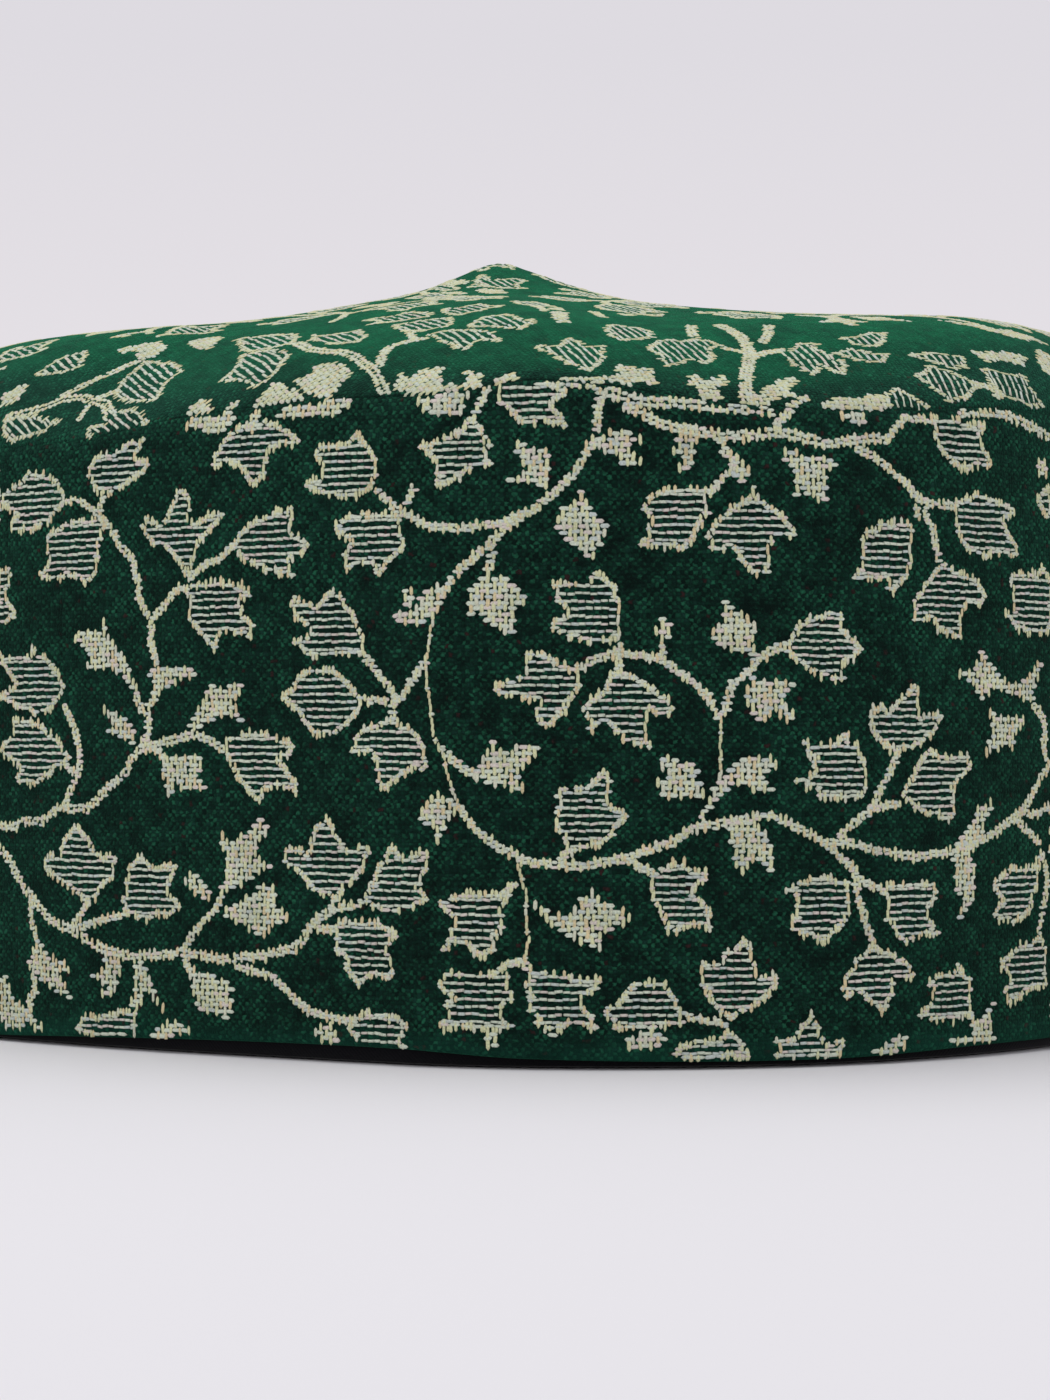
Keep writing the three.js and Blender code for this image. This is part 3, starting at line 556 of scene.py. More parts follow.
def crown_polar(degrees, share, inset=0.0):
    """A point of the crown at a share of the way from its middle to the seam."""
    flat = polar(degrees, share * (around(OUTLINE, degrees) - inset))
    x, y = flat[..., 0], flat[..., 1]
    seam = around(SEAM, degrees)
    top = around(CROWN_TOP, degrees) * share**2 + CROWN_MIDDLE * (1 - share**2) - inset
    lift = (1 - share ** around(CROWN_FULLNESS, degrees)) ** SHOULDER_POWER
    away = np.hypot(x - PEAK_X, y - PEAK_Y)
    peak = PEAK_HEIGHT * np.exp(-np.hypot(away, PEAK_TIP) / PEAK_REACH)
    turn = np.degrees(np.arctan2(x - PEAK_X, -(y - PEAK_Y)))
    dip = sum(depth * np.exp(-((wrapped(turn - at) / width) ** 2)) for at, depth, width in FOLDS)
    dip = dip * away / FOLD_REACH * np.exp(1 - away / FOLD_REACH)
    return np.stack([x, y, seam + (top - seam + peak - dip) * lift], -1)


# The crown's cloth: how far from the middle along the cloth each share of the way is
CROWN_DEGREES = np.linspace(-180, 180, 721)
EVEN = np.linspace(0, 1, 801)
SHARES = EVEN ** 0.8
PROFILE = crown_polar(CROWN_DEGREES[:, None], SHARES[None, :])
REACHES = np.cumsum(np.linalg.norm(np.diff(PROFILE, axis=1, prepend=PROFILE[:, :1]), axis=2), axis=1)
CROWN_REACH = REACHES[:, -1]
SHARE_AT = np.stack([np.interp(EVEN * row[-1], row, SHARES) for row in REACHES])


def crown_share(degrees, reach):
    """The share of the way to the seam at a distance along the cloth, and the seam's own distance."""
    k = (np.asarray(degrees, float) + 180) * 2
    k0 = np.clip(np.floor(k).astype(int), 0, len(CROWN_REACH) - 2)
    f = k - k0
    full = CROWN_REACH[k0] * (1 - f) + CROWN_REACH[k0 + 1] * f
    t = np.clip(reach / full, 0, 1) * (len(EVEN) - 1)
    t0 = np.clip(np.floor(t).astype(int), 0, len(EVEN) - 2)
    g = t - t0
    low, high = (SHARE_AT[row, t0] * (1 - g) + SHARE_AT[row, t0 + 1] * g for row in (k0, k0 + 1))
    return low * (1 - f) + high * f, full


def crown_cloth(degrees, reach, pinch):
    """A point of the crown's cloth, drawn in at the seam, by degrees and distance from the middle."""
    share, full = crown_share(degrees, reach)
    p = crown_polar(degrees, share)
    crease = CREASE_DEPTH * pinch * np.exp(-np.maximum(full - reach, 0) / CREASE_WIDTH)
    p[..., :2] -= polar(degrees, crease)
    flat = polar(degrees, reach)
    calm = np.clip((full - reach) / CALM_EDGE, 0, 1)
    p[..., 2] += CROWN_WAVES * soft_waves(flat[..., 0], -flat[..., 1]) * calm
    p[..., 2] -= np.maximum(reach - full, 0)
    return p


def crown_surface(across, along, out=0.0):
    """A point of the crown's cloth, by its place on the flat chart, a distance out from its face."""
    degrees = np.degrees(np.arctan2(across, -along))
    reach = np.maximum(np.hypot(across, along), 0.6)
    pinch = pinch_at(out)
    side = np.degrees(0.5 / reach)
    p = crown_cloth(degrees, reach, pinch)
    along_step = p - crown_cloth(degrees, reach - 0.4, pinch)
    one, other = (crown_cloth(wrapped(degrees + turn), reach, pinch) for turn in (side, -side))
    normal = np.cross(along_step, one - other)
    normal /= np.linalg.norm(normal, axis=-1, keepdims=True)
    return p + normal * np.asarray(out)[..., None]


def crossings(outline, step):
    """Thread crossings over an outline: whole numbers across and up, and which lie inside it."""
    low = np.floor((np.min(outline, axis=0) - step) / step).astype(int)
    high = np.ceil((np.max(outline, axis=0) + step) / step).astype(int)
    i, j = np.meshgrid(np.arange(low[0], high[0] + 1), np.arange(low[1], high[1] + 1), indexing="ij")
    x, y = i * step, j * step
    full = np.zeros(i.shape, bool)
    for (x0, y0), (x1, y1) in zip(np.roll(outline, 1, axis=0), outline):
        if y0 != y1:
            full ^= ((y0 > y) != (y1 > y)) & (x < (x1 - x0) * (y - y0) / (y1 - y0) + x0)
    return i, j, full


def runs(mask, longest):
    """Start, line and length of each run of true cells along the first axis, cut to a longest length."""
    for j in range(mask.shape[1]):
        i = 0
        while i < mask.shape[0]:
            n = 0
            while n < longest and i + n < mask.shape[0] and mask[i + n, j]:
                n += 1
            if n:
                yield i, j, n
            i += max(n, 1)


# Every weave function gives its weft floats and its warp floats, each as (x, y, length, width, end)
def weave_leaf(outline, bead, pick):
    """A leaf: a light jagged edge round light stripes."""
    i, j, full = crossings(outline, pick)
    padded = np.pad(full, 1)
    up = padded[1:-1, 2:]
    side = full & ~(padded[:-2, 1:-1] & padded[2:, 1:-1])
    flat = full & ~(padded[1:-1, :-2] & up)
    weft, warp = [], []
    x0, y0 = i[0, 0] * pick, j[0, 0] * pick
    for a, b, n in runs(flat, 3):
        y = y0 + b * pick
        weft.append((x0 + (a + (n - 1) / 2) * pick, y, n * pick + 0.45, EDGE_WIDTH, SOFT_END))
        for k in range(a, a + n):
            if rng.random() < 0.55:
                lean = (-0.40 if up[k, b] else 0.40) * rng.random()
                warp.append((x0 + k * pick, y + lean, rng.uniform(0.9, 1.7), SIDE_WIDTH, SOFT_END))
    for b, a, n in runs(side.T, 3):
        x, shift = x0 + a * pick, rng.uniform(-0.10, 0.10)
        warp.append((x + shift, y0 + (b + (n - 1) / 2) * pick, n * pick + 0.55, SIDE_WIDTH, SOFT_END))
        if rng.random() < 0.45:
            weft.append((x + shift * 3, y0 + b * pick, rng.uniform(0.8, 1.5), EDGE_WIDTH, SOFT_END))
    width = STRIPE_WIDTH * pick / PICK
    for a, b, n in runs(full & ~side & ~flat & (j % 2 == 0), bead):
        weft.append((x0 + (a + (n - 1) / 2) * pick, y0 + b * pick, n * pick + 0.14, width, BLUNT_END))
    return weft, warp


def weave_solid(outline, full_width):
    """A solid figure: light weft and warp floats in turn over its crossings."""
    i, j, full = crossings(outline, SOLID_STEP)
    x, y = i[full] * SOLID_STEP, j[full] * SOLID_STEP
    odd = (i[full] + j[full]) % 2 == 1
    weft = [(a, b, 1.40, SOLID_WEFT_WIDTH * full_width, SOFT_END) for a, b in zip(x[odd], y[odd])]
    warp = [(a, b, 1.60, SOLID_WARP_WIDTH * full_width, SOFT_END) for a, b in zip(x[~odd], y[~odd])]
    return weft, warp


def weave_stem(width, line, full_width):
    """A stem: one to three rows of floats along its line, weft and warp in turn."""
    at = np.concatenate([[0], np.cumsum(np.hypot(*np.diff(line, axis=0).T))])

    def place(d):
        return np.stack([np.interp(d, at, line[:, 0]), np.interp(d, at, line[:, 1])])

    if width < THIN_STEM:
        spots = place(np.arange(0.4, at[-1], 0.8)).T
        warp = [(a, b, 1.25, THIN_WIDTH, SOFT_END) for a, b in spots]
        return [(a, b, 0.9, THIN_WIDTH, SOFT_END) for a, b in spots[2::4]], warp
    rows = (-0.5, 0.5) if width < WIDE_STEM else (-1.0, 0.0, 1.0)
    reach = max(width - 0.85, 0.40) / (len(rows) - 1)
    weft, warp = [], []
    for n, row in enumerate(rows):
        d = np.arange(0.22 * n, at[-1] + 0.1, STEM_STEP)
        tx, ty = place(np.clip(d + 0.6, 0, at[-1])) - place(np.clip(d - 0.6, 0, at[-1]))
        size = np.maximum(np.hypot(tx, ty), 1e-6)
        x, y = place(d) + np.stack([-ty, tx]) / size * row * reach
        x, y = x + rng.uniform(-0.14, 0.14, len(d)), y + rng.uniform(-0.14, 0.14, len(d))
        for k in range(len(d)):
            if rng.random() < 0.06:
                continue
            kind, longest = (weft, 1.40) if (k + n) % 2 else (warp, 1.50)
            kind.append((x[k], y[k], rng.uniform(0.85, longest), STEM_WIDTH * full_width, SOFT_END))
    return weft, warp


def woven(chart, bead, pick=PICK, full_width=1.0):
    """All the weft floats and all the warp floats of a chart, as two arrays."""
    leaves, solids, stems = chart
    made = [weave_leaf(f, bead, pick) for f in leaves]
    made += [weave_solid(f, full_width) for f in solids]
    made += [weave_stem(w, f, full_width) for w, f in stems]
    return [np.array([one for part in made for one in part[kind]]).reshape(-1, 5) for kind in (0, 1)]


def changed(chart, change):
    """A chart with every figure changed by a function."""
    leaves, solids, stems = chart
    return [change(f) for f in leaves], [change(f) for f in solids], [(w, change(f)) for w, f in stems]


def band_floats():
    """The front chart once, then as often as it fits round the back, drawn in or out in its width."""
    front = CHART_RIGHT - CHART_LEFT
    repeat = (ROUND - front) / BACK_REPEATS
    parts = [woven(BAND_CHART, 2)]
    for k in range(BACK_REPEATS):
        move = front + k * repeat

        def placed(f):
            return np.stack([CHART_LEFT + (f[:, 0] - CHART_LEFT) * (repeat / front) + move, f[:, 1]], -1)

        parts.append(woven(changed(BAND_CHART, placed), 3))
    kept = []
    for floats in map(np.concatenate, zip(*parts)):
        degrees, up = angle_at(floats[:, 0]), floats[:, 1]
        kept.append(floats[(up < around(SEAM, degrees) - 0.2) & (up > around(HEM, degrees) + 0.4)])
    return kept


def to_threads(points):
    """From the crown's chart to its threads: along the weft and along the warp."""
    return np.stack([points @ CROWN_WEFT, points @ CROWN_WARP], -1)


def from_threads(points):
    return points[:, :1] * CROWN_WEFT + points[:, 1:2] * CROWN_WARP


def free_of_front(threads, gap, rim):
    """Which places lie a gap behind the crown's front chart and within a distance of the middle."""
    across, along = from_threads(threads).T
    edge = np.interp(across, *np.transpose(CHART_EDGE))
    covered = (np.abs(across) < CHART_SIDE) & (along - gap < edge)
    return ~covered & (np.hypot(across, along) < rim)


def outside_front(line):
    """The longest stretch of a stem that lies outside the crown's front chart."""
    free = free_of_front(line, 1.5, STEM_RIM)
    start, _, n = max(runs(free[:, None], len(line)), key=lambda run: run[2], default=(0, 0, 0))
    return line[start:start + n]


def crown_floats():
    """The crown's own chart near the front, and the band's chart on the rest of the same cloth."""
    parts = [woven(changed(CROWN_CHART, to_threads), 3, CROWN_PICK, CROWN_FULL)]
    length = CHART_RIGHT - CHART_LEFT
    for row, shift in CROWN_ROWS:
        for column in (-1, 0, 1):
            move = np.array([shift + (column - 0.5) * length, row * CHART_HEIGHT + CROWN_ROW_START])
            *figures, stems = changed(BAND_CHART, lambda f: f + move)
            middles = [np.array([f.mean(axis=0) for f in group]) for group in figures]
            free = [free_of_front(group, 2.5, FIGURE_RIM) for group in middles]
            leaves, solids = ([f for f, keep in zip(*pair) if keep] for pair in zip(figures, free))
            stems = [(w, outside_front(f)) for w, f in stems]
            chart = leaves, solids, [(w, f) for w, f in stems if len(f) > 1]
            parts.append(woven(chart, 3, CROWN_PICK, CROWN_FULL))
    kept = []
    for floats in map(np.concatenate, zip(*parts)):
        across, along = from_threads(floats[:, :2]).T
        full = np.interp(np.degrees(np.arctan2(across, -along)), CROWN_DEGREES, CROWN_REACH)
        kept.append(floats[np.hypot(across, along) < full - 0.2])
    return kept


# One float: share of the length, share of the width and share of the height at each corner
FLOAT_CORNERS = np.array([
    (-1.0, 0.0, -0.35),
    (-0.999, -1.0, -0.15), (-0.999, 0.0, 0.85), (-0.999, 1.0, -0.15),
    (0.999, -1.0, -0.15), (0.999, 0.0, 0.85), (0.999, 1.0, -0.15),
    (1.0, 0.0, -0.35),
])
FLOAT_TRIANGLES = np.array([
    (0, 1, 2), (0, 2, 3), (4, 7, 5), (5, 7, 6), (1, 4, 5), (1, 5, 2), (2, 5, 6), (2, 6, 3),
])


def float_places(floats, upright, height):
    """Each float's corners on the flat cloth, their heights and their place along it, a little uneven."""
    n = len(floats)
    loose = np.clip(floats[:, None, 2] - 0.35, 0.3, 1.0)
    centre = floats[:, None, :2] + rng.uniform(-0.13, 0.13, (n, 1, 2)) * loose[..., None]
    half = floats[:, None, 2] / 2 * (1 + rng.uniform(-0.18, 0.18, (n, 1)) * loose)
    wide = floats[:, None, 3] / 2 * rng.uniform(0.85, 1.15, (n, 1))
    high = height * (1.15 if upright else 0.95) * rng.uniform(0.75, 1.25, (n, 1))
    lean = rng.normal(0, 0.07, (n, 1))
    share = FLOAT_CORNERS[None, :, 0]
    along = np.where(np.abs(share) < 1, share * floats[:, None, 4], share) * half
    across = FLOAT_CORNERS[None, :, 1] * wide
    a, b = along - across * lean, across + along * lean
    flat = np.stack([-b, a] if upright else [a, b], -1) + centre
    return flat, FLOAT_CORNERS[None, :, 2] * high, along / half


def new_mesh(name, points, faces, corner_uv):
    """A mesh object from arrays: points in millimetres, faces all with the same number of corners."""
    if not np.isfinite(points).all():
        raise ValueError(name + " has points with no place")
    mesh = bpy.data.meshes.new(name)
    mesh.vertices.add(points.size // 3)
    mesh.vertices.foreach_set("co", (points * MM).astype(np.float32).ravel())
    mesh.loops.add(faces.size)
    mesh.loops.foreach_set("vertex_index", faces.astype(np.int32).ravel())
    mesh.polygons.add(len(faces))
    n = faces.shape[1]
    mesh.polygons.foreach_set("loop_start", np.arange(0, faces.size, n, dtype=np.int32))
    mesh.polygons.foreach_set("loop_total", np.full(len(faces), n, dtype=np.int32))
    mesh.polygons.foreach_set("use_smooth", np.ones(len(faces), bool))
    for layer, values in corner_uv.items():
        mesh.uv_layers.new(name=layer).data.foreach_set("uv", values.astype(np.float32).ravel())
    mesh.update(calc_edges=True)
    mesh.validate()
    o = bpy.data.objects.new(name, mesh)
    bpy.context.scene.collection.objects.link(o)
    return o


def float_mesh(name, floats, upright, height, surface, to_flat, to_sheet):
    """Every float of one kind as one mesh that follows the cloth."""
    flat, high, end = float_places(floats, upright, height)
    n = len(floats)
    cloth = flat.reshape(-1, 2)
    chart = to_flat(cloth)
    points = surface(chart[:, 0], chart[:, 1], high.ravel())
    faces = (FLOAT_TRIANGLES[None] + 8 * np.arange(n)[:, None, None]).reshape(-1, 3)
    layers = {
        "OFBake": to_sheet(chart, np.repeat(to_flat(floats[:, :2]), 8, axis=0)),
        "cloth": cloth,
        # A random tone for each float, and each corner's place along and across it, for the painted shade at
        # its ends and sides
        "yarn": np.stack([np.repeat(rng.random(n), 8), end.ravel()], -1),
        "round": np.stack([np.tile(FLOAT_CORNERS[:, 1], n), np.zeros(8 * n)], -1),
    }
    return new_mesh(name, points, faces, {key: values[faces.ravel()] for key, values in layers.items()})


def ring_faces(rings, columns, closed):
    """Quads between rings of points, and each quad's own ring and column."""
    i, j = np.meshgrid(np.arange(rings if closed else rings - 1), np.arange(columns), indexing="ij")
    i, j = i.ravel(), j.ravel()
    below, beside = (i + 1) % rings * columns, (j + 1) % columns
    return np.stack([i * columns + j, below + j, below + beside, i * columns + beside], -1), i, j


def shell_faces(rings, columns):
    """Quads of a domed shell: between its rings, and straight across its first and last ring."""
    faces, i, j = ring_faces(rings, columns, False)
    k = np.arange(columns // 2 - 1)
    middle = np.stack([k, k + 1, columns - 2 - k, columns - 1 - k], -1)
    faces = np.concatenate([faces, middle, middle[:, ::-1] + (rings - 1) * columns])
    i = np.concatenate([i, np.zeros(len(k), int), np.full(len(k), rings - 2)])
    return faces, i, np.concatenate([j, np.zeros(2 * len(k), int)])


def on_strips(share, strip, up):
    """Where the band's cloth lies on its flat picture: three strips, one above the other."""
    return np.stack([0.01 + 0.98 * (share * STRIPS - strip), (strip + up) / STRIPS], -1)


def band_sheet(chart, middle):
    """Where the band's floats lie on its flat picture, each whole on one strip."""
    strip = np.floor(np.clip((middle[:, 0] - CHART_LEFT) / ROUND, 0, 0.99999) * STRIPS)
    return on_strips((chart[:, 0] - CHART_LEFT) / ROUND, strip, 0.03 + 0.9 * chart[:, 1] / STRIP_HEIGHT)


def crown_sheet(chart, middle=None):
    """Where the crown's cloth lies on its flat picture."""
    return 0.5 + chart * CROWN_SHEET_SCALE


def band_cloth():
    """The band: its face from the seam down, the hem turned under, and its back up again."""
    along = CHART_LEFT + ROUND * np.arange(BAND_COLUMNS) / BAND_COLUMNS
    degrees = angle_at(along)
    hem, seam = around(HEM, degrees), around(SEAM, degrees)
    half = CLOTH / 2
    rows = [(hem + half + (seam - hem - half) * s, 0.0) for s in (np.linspace(0, 1, BAND_ROWS) ** 0.9)[::-1]]
    for turn in np.radians((60, 30, 0, -30, -60)):
        rows.append((hem + half - half * math.cos(turn), -half + half * math.sin(turn)))
    rows += [(hem + half + (seam - hem - half) * s, -CLOTH) for s in np.linspace(1, 0, BACK_ROWS)[::-1]]
    points = np.stack([band_surface(along, up, out) for up, out in rows])
    faces, i, j = ring_faces(len(rows), BAND_COLUMNS, True)
    faces = np.roll(faces, -1, axis=1)
    column = j[:, None] + (0, 1, 1, 0)
    a = CHART_LEFT + ROUND / BAND_COLUMNS * column
    b = np.stack([up for up, out in rows]).ravel()[faces]
    hidden = (i >= len(rows) - BACK_ROWS - 1) & (i < len(rows) - 1)
    strip = np.floor((j + 0.5) / BAND_COLUMNS * STRIPS)[:, None]
    height = np.where(hidden[:, None], 0.985 + 0.010 * b / STRIP_HEIGHT, 0.03 + 0.9 * b / STRIP_HEIGHT)
    sheet = on_strips((a - CHART_LEFT) / ROUND, strip, height)
    return new_mesh("band_cloth", points, faces, {"OFBake": sheet, "cloth": np.stack([a, b], -1)})


def crown_shell():
    """The crown: rings of points round its middle, with the cloth's back close behind them."""
    degrees = np.linspace(-180, 180, CROWN_COLUMNS, endpoint=False)
    full = np.interp(degrees, CROWN_DEGREES, CROWN_REACH)
    near_seam = 0.9 + 0.1 * np.linspace(0, 1, SEAM_RINGS + 1)[1:] ** 0.8
    shares = np.concatenate([np.linspace(0.007, 0.9, CROWN_RINGS - SEAM_RINGS), near_seam])
    flat = polar(degrees, full * shares[:, None])
    face, rear = (crown_surface(flat[..., 0], flat[..., 1], out) for out in (0.0, -CLOTH))
    faces, i, _ = shell_faces(2 * CROWN_RINGS, CROWN_COLUMNS)
    corner = np.concatenate([flat, flat[::-1]]).reshape(-1, 2)[faces.ravel()]
    hidden = np.repeat(i >= CROWN_RINGS - 1, 4)[:, None]
    layers = {
        "OFBake": np.where(hidden, 0.94 + corner * 0.0004, crown_sheet(corner)),
        "cloth": to_threads(corner),
    }
    return new_mesh("crown_cloth", np.concatenate([face, rear[::-1]]), faces, layers)


def lining_surface(degrees, reach, inset):
    """The lining's form: the crown's shape drawn in, then straight down to the table."""
    p = crown_polar(degrees, np.clip(reach, 0, 1), inset)
    down = (around(SEAM, degrees) - inset * 0.5) * (1 - np.clip(reach - 1, 0, 1))
    p[..., 2] = np.where(reach <= 1, p[..., 2], down)
    return p


def lining_shell():
    """The lining: a dome and a wall in one, with a rounded lower edge."""
    degrees = np.linspace(-180, 180, LINING_COLUMNS, endpoint=False)
    dome, shoulder = np.linspace(0.01, 0.93, 26), (0.955, 0.975, 0.99, 0.998)
    shares = np.concatenate([dome, shoulder, 1 + np.linspace(0.008, 1, 30)])
    outer = lining_surface(degrees, shares[:, None], CLOTH + GAP)
    inner = lining_surface(degrees, shares[::-1, None], CLOTH + GAP + LINING)
    edge = (outer[-1] + inner[0]) / 2
    outer[-1, :, 2] += EDGE_ROUNDING
    inner[0, :, 2] += EDGE_ROUNDING
    place = np.concatenate([shares, [2.0], shares[::-1]])
    faces, i, j = shell_faces(len(place), LINING_COLUMNS)
    length = np.where(place <= 1, place * DOME_LENGTH, DOME_LENGTH + (place - 1) * WALL_HEIGHT)[:, None]
    corner = polar(degrees, length).reshape(-1, 2)[faces.ravel()]
    unrolled = np.stack(np.broadcast_arrays(np.radians(degrees) * WALL_RADIUS, length), -1)
    unrolled = unrolled.reshape(-1, 2)[faces.ravel()]
    last = np.repeat(j == LINING_COLUMNS - 1, 4) & (faces.ravel() % LINING_COLUMNS == 0)
    unrolled[last, 0] += 2 * math.pi * WALL_RADIUS
    wall = np.repeat((place[i] > 1) | (place[i + 1] > 1), 4)[:, None]
    hidden = np.repeat(i < len(shares), 4)[:, None]
    layers = {
        "OFBake": np.where(hidden, 0.96 + corner * 0.0001, 0.5 + corner * LINING_SHEET_SCALE),
        "cloth": np.where(wall, unrolled, corner),
    }
    return new_mesh("lining_cloth", np.concatenate([outer, edge[None], inner]), faces, layers)


class Value:
    """A number or colour inside a material. Arithmetic with it adds nodes."""

    def __init__(self, material, socket):
        self.material, self.socket = material, socket

    def math(self, operation, other=None):
        return self.material.node("Math", self, other, operation=operation)[0]

    def clamp(self):
        return self.material.node("Clamp", self)[0]

    def __add__(self, other):
        return self.math("ADD", other)

    def __sub__(self, other):
        return self.math("SUBTRACT", other)

    def __mul__(self, other):
        return self.math("MULTIPLY", other)

    def __pow__(self, other):
        return self.math("POWER", other)


class Material:
    """A short way to write a material's nodes."""

    def __init__(self, name):
        self.material = bpy.data.materials.new(name)
        self.material.use_nodes = True
        self.tree = self.material.node_tree
        self.shader = self.tree.nodes["Principled BSDF"]

    def put(self, socket, value):
        if isinstance(value, Value):
            self.tree.links.new(value.socket, socket)
        elif value is not None:
            socket.default_value = value

    def node(self, kind, *values, **settings):
        """A new node with its inputs filled in turn, as a list of its outputs."""
        node = self.tree.nodes.new("ShaderNode" + kind)
        for key, value in settings.items():
            setattr(node, key, value)
        for socket, value in zip(node.inputs, values):
            self.put(socket, value)
        return [Value(self, output) for output in node.outputs]

    def layer(self, name):
        """A mesh's own layer as a place, and both its numbers."""
        place = self.node("UVMap", uv_map=name)[0]
        return [place] + self.node("SeparateXYZ", place)[:2]

    def facing_up(self):
        """How much the cloth faces upwards, from nought to one."""
        return self.node("SeparateXYZ", self.node("NewGeometry")[1])[2]

    def noise(self, place, scale, detail=2.0, roughness=0.5):
        return self.node("TexNoise", place, None, scale, detail, roughness)[0]

    def slub(self, x, y, across, up):
        """Soft streaks that run along one set of threads."""
        return self.noise(self.node("CombineXYZ", x * across, y * up)[0], 1.0)

    def random(self, x, y):
        return self.node("TexWhiteNoise", self.node("CombineXYZ", x, y)[0], noise_dimensions="2D")[0]

    def mix(self, share, a, b):
        unused = [None] * 5
        return self.node("Mix", share, *unused, a, b, data_type="RGBA")[2]

    def bump(self, height, distance, strength):
        node = self.tree.nodes.new("ShaderNodeBump")
        for name, value in (("Strength", strength), ("Distance", distance * MM), ("Height", height)):
            self.put(node.inputs[name], value)
        self.tree.links.new(node.outputs[0], self.shader.inputs["Normal"])

    def finish(self, color, roughness, sheen=0.0, sheen_tint=(1, 1, 1, 1)):
        values = {
            "Base Color": color, "Roughness": roughness, "Specular IOR Level": 0.04,
            "Sheen Weight": sheen, "Sheen Roughness": 0.45, "Sheen Tint": sheen_tint,
        }
        for name, value in values.items():
            self.put(self.shader.inputs[name], value)
        return self.material


def linear(r, g, b):
    """A colour read from 0 to 255 as the shader's own values."""
    def one(c):
        c = c / 255
        return c / 12.92 if c <= 0.04045 else ((c + 0.055) / 1.055) ** 2.4
    return (one(r), one(g), one(b), 1.0)


def woven_ground(name, lift, relief, hem, sheen):
    """Plain-woven wool: green weft and near-black warp in turn, each crossing a small uneven pillow. Light
    from above, as much as lift, and shade between the threads are painted in.
    """
    m = Material(name)
    place, x, y = m.layer("cloth")
    a = x.math("DIVIDE", GROUND_PICK) + (m.noise(place, 1.1, 5.0, 0.62) - 0.5) * 2.8
    b = y.math("DIVIDE", GROUND_PICK) + (m.noise(place, 0.83, 5.0, 0.62) - 0.5) * 2.4
    column, row = a.math("FLOOR"), b.math("FLOOR")
    arch_a, arch_b = ((v.math("FRACT") * math.pi).math("SINE") for v in (a, b))
    over = (column + row + EVEN_SHIFT).math("MODULO", 2.0)
    weft = arch_b**0.8 * (arch_a * 0.7 + 0.3)
    warp = arch_a**0.8 * (arch_b * 0.7 + 0.2)
    height = over * weft + (over * -1 + 1) * warp
    fibre = m.noise(place, 2.6, 4.0, 0.7)
    patch = m.noise(place, 0.10)
    # Painted top light: how much the cloth faces up, which the lines below turn into a brighter green
    up = ((m.facing_up() - 0.76) * 4.6).clamp()

    shade = m.random(column, row)
    green = m.mix(shade, linear(13, 43, 33), linear(35, 93, 68))
    black = m.mix(shade, linear(10, 27, 23), linear(24, 57, 47))
    thread = m.mix(over, black, green)
    odd = m.random(row, column + 0.37).math("GREATER_THAN", 0.988)
    thread = m.mix(odd, thread, linear(52, 34, 34))
    # Painted top light: the threads turn a brighter green where the cloth faces up
    thread = m.mix(up * lift, thread, linear(3, 126, 74))

    # The wool's own uneven tone, from noise and slubs; painted light and shade are added below
    light = (m.noise(place, 0.42) - 0.5) * 1.9 + 0.40
    light = light + (patch - 0.5) * 1.5
    light = light + (m.slub(x, y, 0.16, 1.9) - 0.5) * 0.9
    light = light + (m.slub(x, y, 1.7, 0.13) - 0.5) * 0.6
    light = light + (fibre - 0.5) * 2.0
    # Painted top light: lighter from 55 mm up, towards the top of the band
    light = light + (y * 0.04 - 2.2).clamp() * 0.16
    # Painted shade in the low gaps between the threads, and a little painted top light
    light = ((light + 0.25) * (height * 0.72 + 0.38)).clamp() + up * 0.06
    # The dark colour fills the shaded gaps and the darker patches of the wool
    color = m.mix(light, linear(11, 23, 20), thread)
    # More painted top light: a brighter green over the weave where the cloth faces up
    color = m.mix(up * (lift * 0.4), color, linear(6, 94, 58))
    low = ((y * -1 + 4.6) * (patch * hem)).clamp()
    color = m.mix(low, color, linear(23, 78, 62))
    m.bump(height * 0.7 + fibre, relief, 0.9)
    return m.finish(color, 0.95, sheen, (0.10, 0.80, 0.45, 1))


def float_yarn(name, usual, warm, cool):
    """Soft undyed yarn: each float its own shade, with painted shade where its ends go under and along its
    sides.
    """
    m = Material(name)
    place = m.layer("cloth")[0]
    _, each, end = m.layer("yarn")
    across = m.layer("round")[1]
    fibre = m.noise(place, 5.0, 3.0, 0.6)
    color = m.mix(each.math("GREATER_THAN", 0.62), linear(*usual), linear(*warm))
    color = m.mix(each.math("GREATER_THAN", 0.84), color, linear(*cool))
    # Painted shade at the ends, where the float dives under, and along its sides, with the yarn's own uneven
    # tone
    under = end.math("ABSOLUTE") ** 3.0 + across.math("ABSOLUTE") ** 2.0 * 0.55
    under = under * 0.55 + (fibre - 0.42) * 1.3
    under = (under + (m.noise(place, 0.25) - 0.5) * 0.6).clamp()
    m.bump(fibre, 0.06, 0.7)
    return m.finish(m.mix(under, color, linear(96, 106, 84)), 0.9, 0.1)


def plain_cotton(name):
    """Plain black lining cotton with a fine weave."""
    m = Material(name)
    place, x, y = m.layer("cloth")
    across, up = ((v * (2 * math.pi / COTTON_PICK)).math("SINE") for v in (x, y))
    m.bump(across * up, 0.03, 0.5)
    color = m.mix(m.noise(place, 0.05, 3.0), linear(14, 14, 17), linear(22, 22, 25))
    return m.finish(color, 0.85, 0.15)


def painted(o, material):
    o.data.materials.clear()
    o.data.materials.append(material)


def yarns(part, floats, height, surface, to_flat, to_sheet, colors):
    """The weft and the warp floats of one piece of cloth."""
    made = []
    for upright, thread in enumerate(("weft", "warp")):
        name = part + "_" + thread + "_floats"
        made.append(float_mesh(name, floats[upright], upright, height, surface, to_flat, to_sheet))
        painted(made[-1], float_yarn(*colors[upright]))
    return made


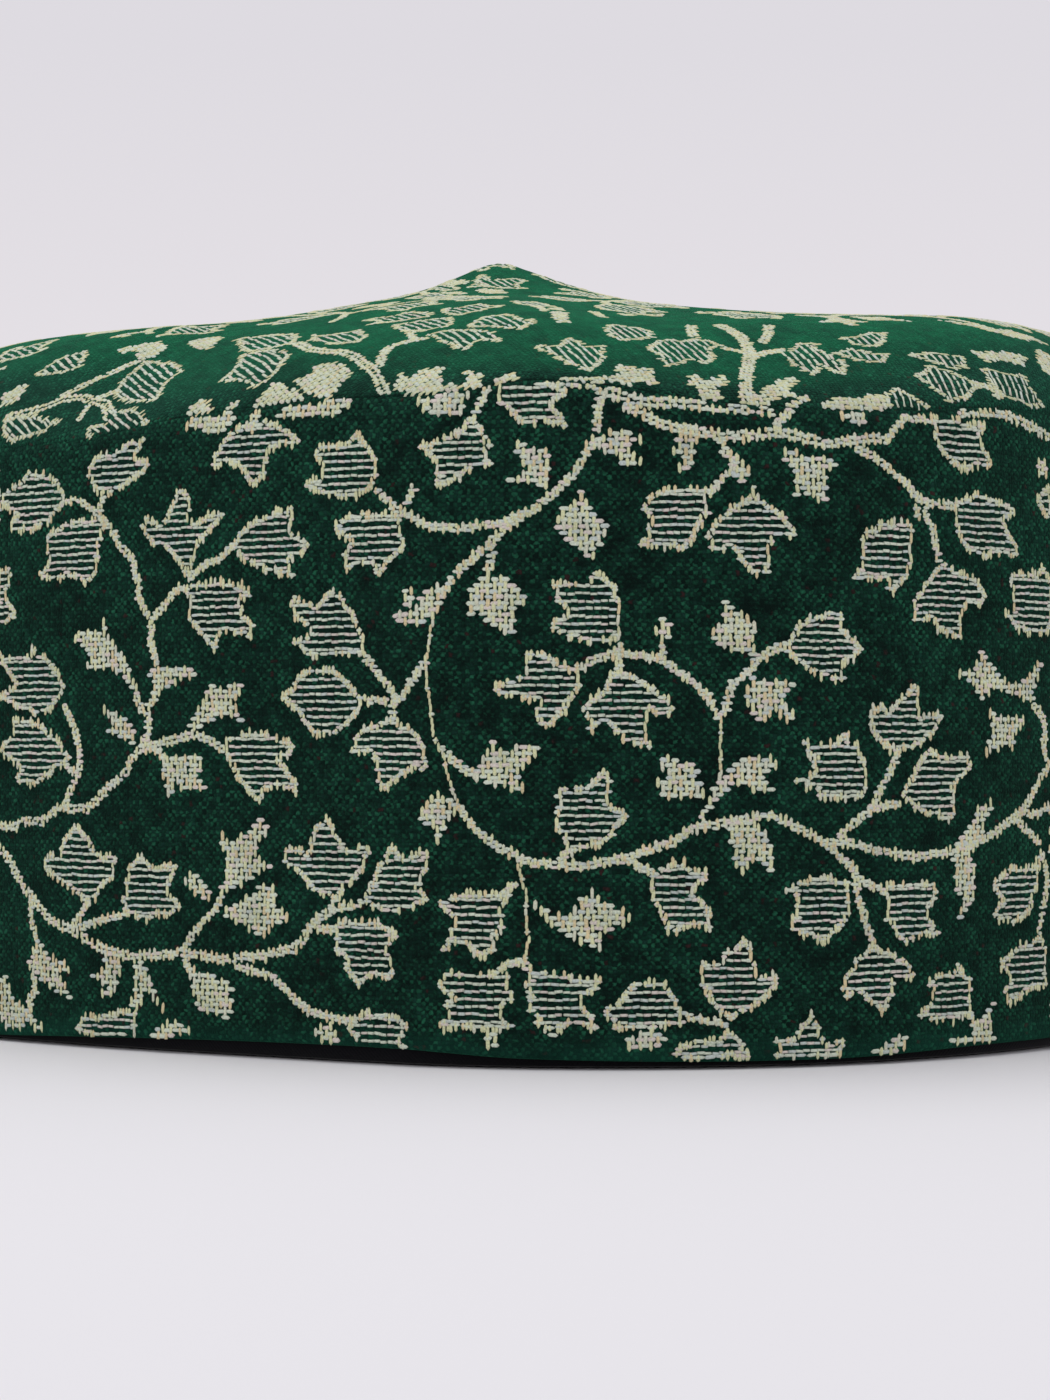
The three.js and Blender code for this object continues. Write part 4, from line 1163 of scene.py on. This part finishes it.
def make_cap():
    """Every piece of the cap that is seen."""
    band, crown, lining = band_cloth(), crown_shell(), lining_shell()
    # The second number is the painted top light where the wool faces up: more on the crown than on the band
    painted(band, woven_ground("band_wool", 0.40, 0.14, 0.20, 0.09))
    painted(crown, woven_ground("crown_wool", 0.46, 0.12, 0.0, 0.20))
    painted(lining, plain_cotton("lining_cotton"))
    on_band, on_crown = band_floats(), crown_floats()
    band_yarn = yarns("band", on_band, FLOAT_HEIGHT, band_surface, np.array, band_sheet, BAND_YARNS)
    crown_yarn = yarns(
        "crown", on_crown, CROWN_FLOAT_HEIGHT, crown_surface, from_threads, crown_sheet, CROWN_YARNS)
    for o in (band, crown, lining, *band_yarn, *crown_yarn):
        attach(o, "root")
    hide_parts("band")
    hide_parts("crown")
    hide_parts("lining")


def softbox(name, place, aim, width, watts):
    light = bpy.data.lights.new(name, "AREA")
    light.size = width
    light.energy = watts
    o = bpy.data.objects.new(name, light)
    o.location = place
    o.rotation_euler = (Vector(aim) - Vector(place)).to_track_quat("-Z", "Y").to_euler()
    bpy.context.scene.collection.objects.link(o)


def make_studio():
    """A pale floor, a pale background and soft light from above."""
    bpy.ops.mesh.primitive_plane_add(size=60.0, location=(0, 0, -0.0002))
    floor = bpy.context.object
    floor.name = "floor"
    painted(floor, Material("floor_paper").finish(linear(231, 231, 232), 0.9))
    world = bpy.data.worlds.new("studio")
    world.use_nodes = True
    tree = world.node_tree
    where = tree.nodes.new("ShaderNodeTexCoord")
    split = tree.nodes.new("ShaderNodeSeparateXYZ")
    ramp = tree.nodes.new("ShaderNodeValToRGB")
    stops = ramp.color_ramp.elements
    stops[0].position, stops[0].color = 0.0, linear(202, 199, 206)
    stops[1].position, stops[1].color = 0.22, linear(222, 219, 225)
    for height in (0.08, 0.12):
        stops.new(height).color = linear(228, 224, 229)
    tree.links.new(where.outputs["Generated"], split.inputs[0])
    tree.links.new(split.outputs[2], ramp.inputs[0])
    tree.links.new(ramp.outputs[0], tree.nodes["Background"].inputs[0])
    bpy.context.scene.world = world
    bpy.context.scene.view_settings.view_transform = "Standard"
    softbox("top_light", (-0.12, -0.06, 0.68), (0, 0, 0.08), 0.7, 2.05)


def make_camera():
    """The photograph's view: level with the band, close, and a little up."""
    data = bpy.data.cameras.new("camera")
    data.sensor_width = 36.0
    data.lens = 36.0 * FOCAL_PIXELS / PHOTO_HEIGHT_PIXELS
    data.clip_start = 0.01
    data.clip_end = 50.0
    camera = bpy.data.objects.new("camera", data)
    camera.location = (0.003, -0.464, 0.0392)
    camera.rotation_euler = (math.radians(90.776), 0, 0)
    bpy.context.scene.collection.objects.link(camera)
    bpy.context.scene.camera = camera


make_cap()
make_studio()
make_camera()
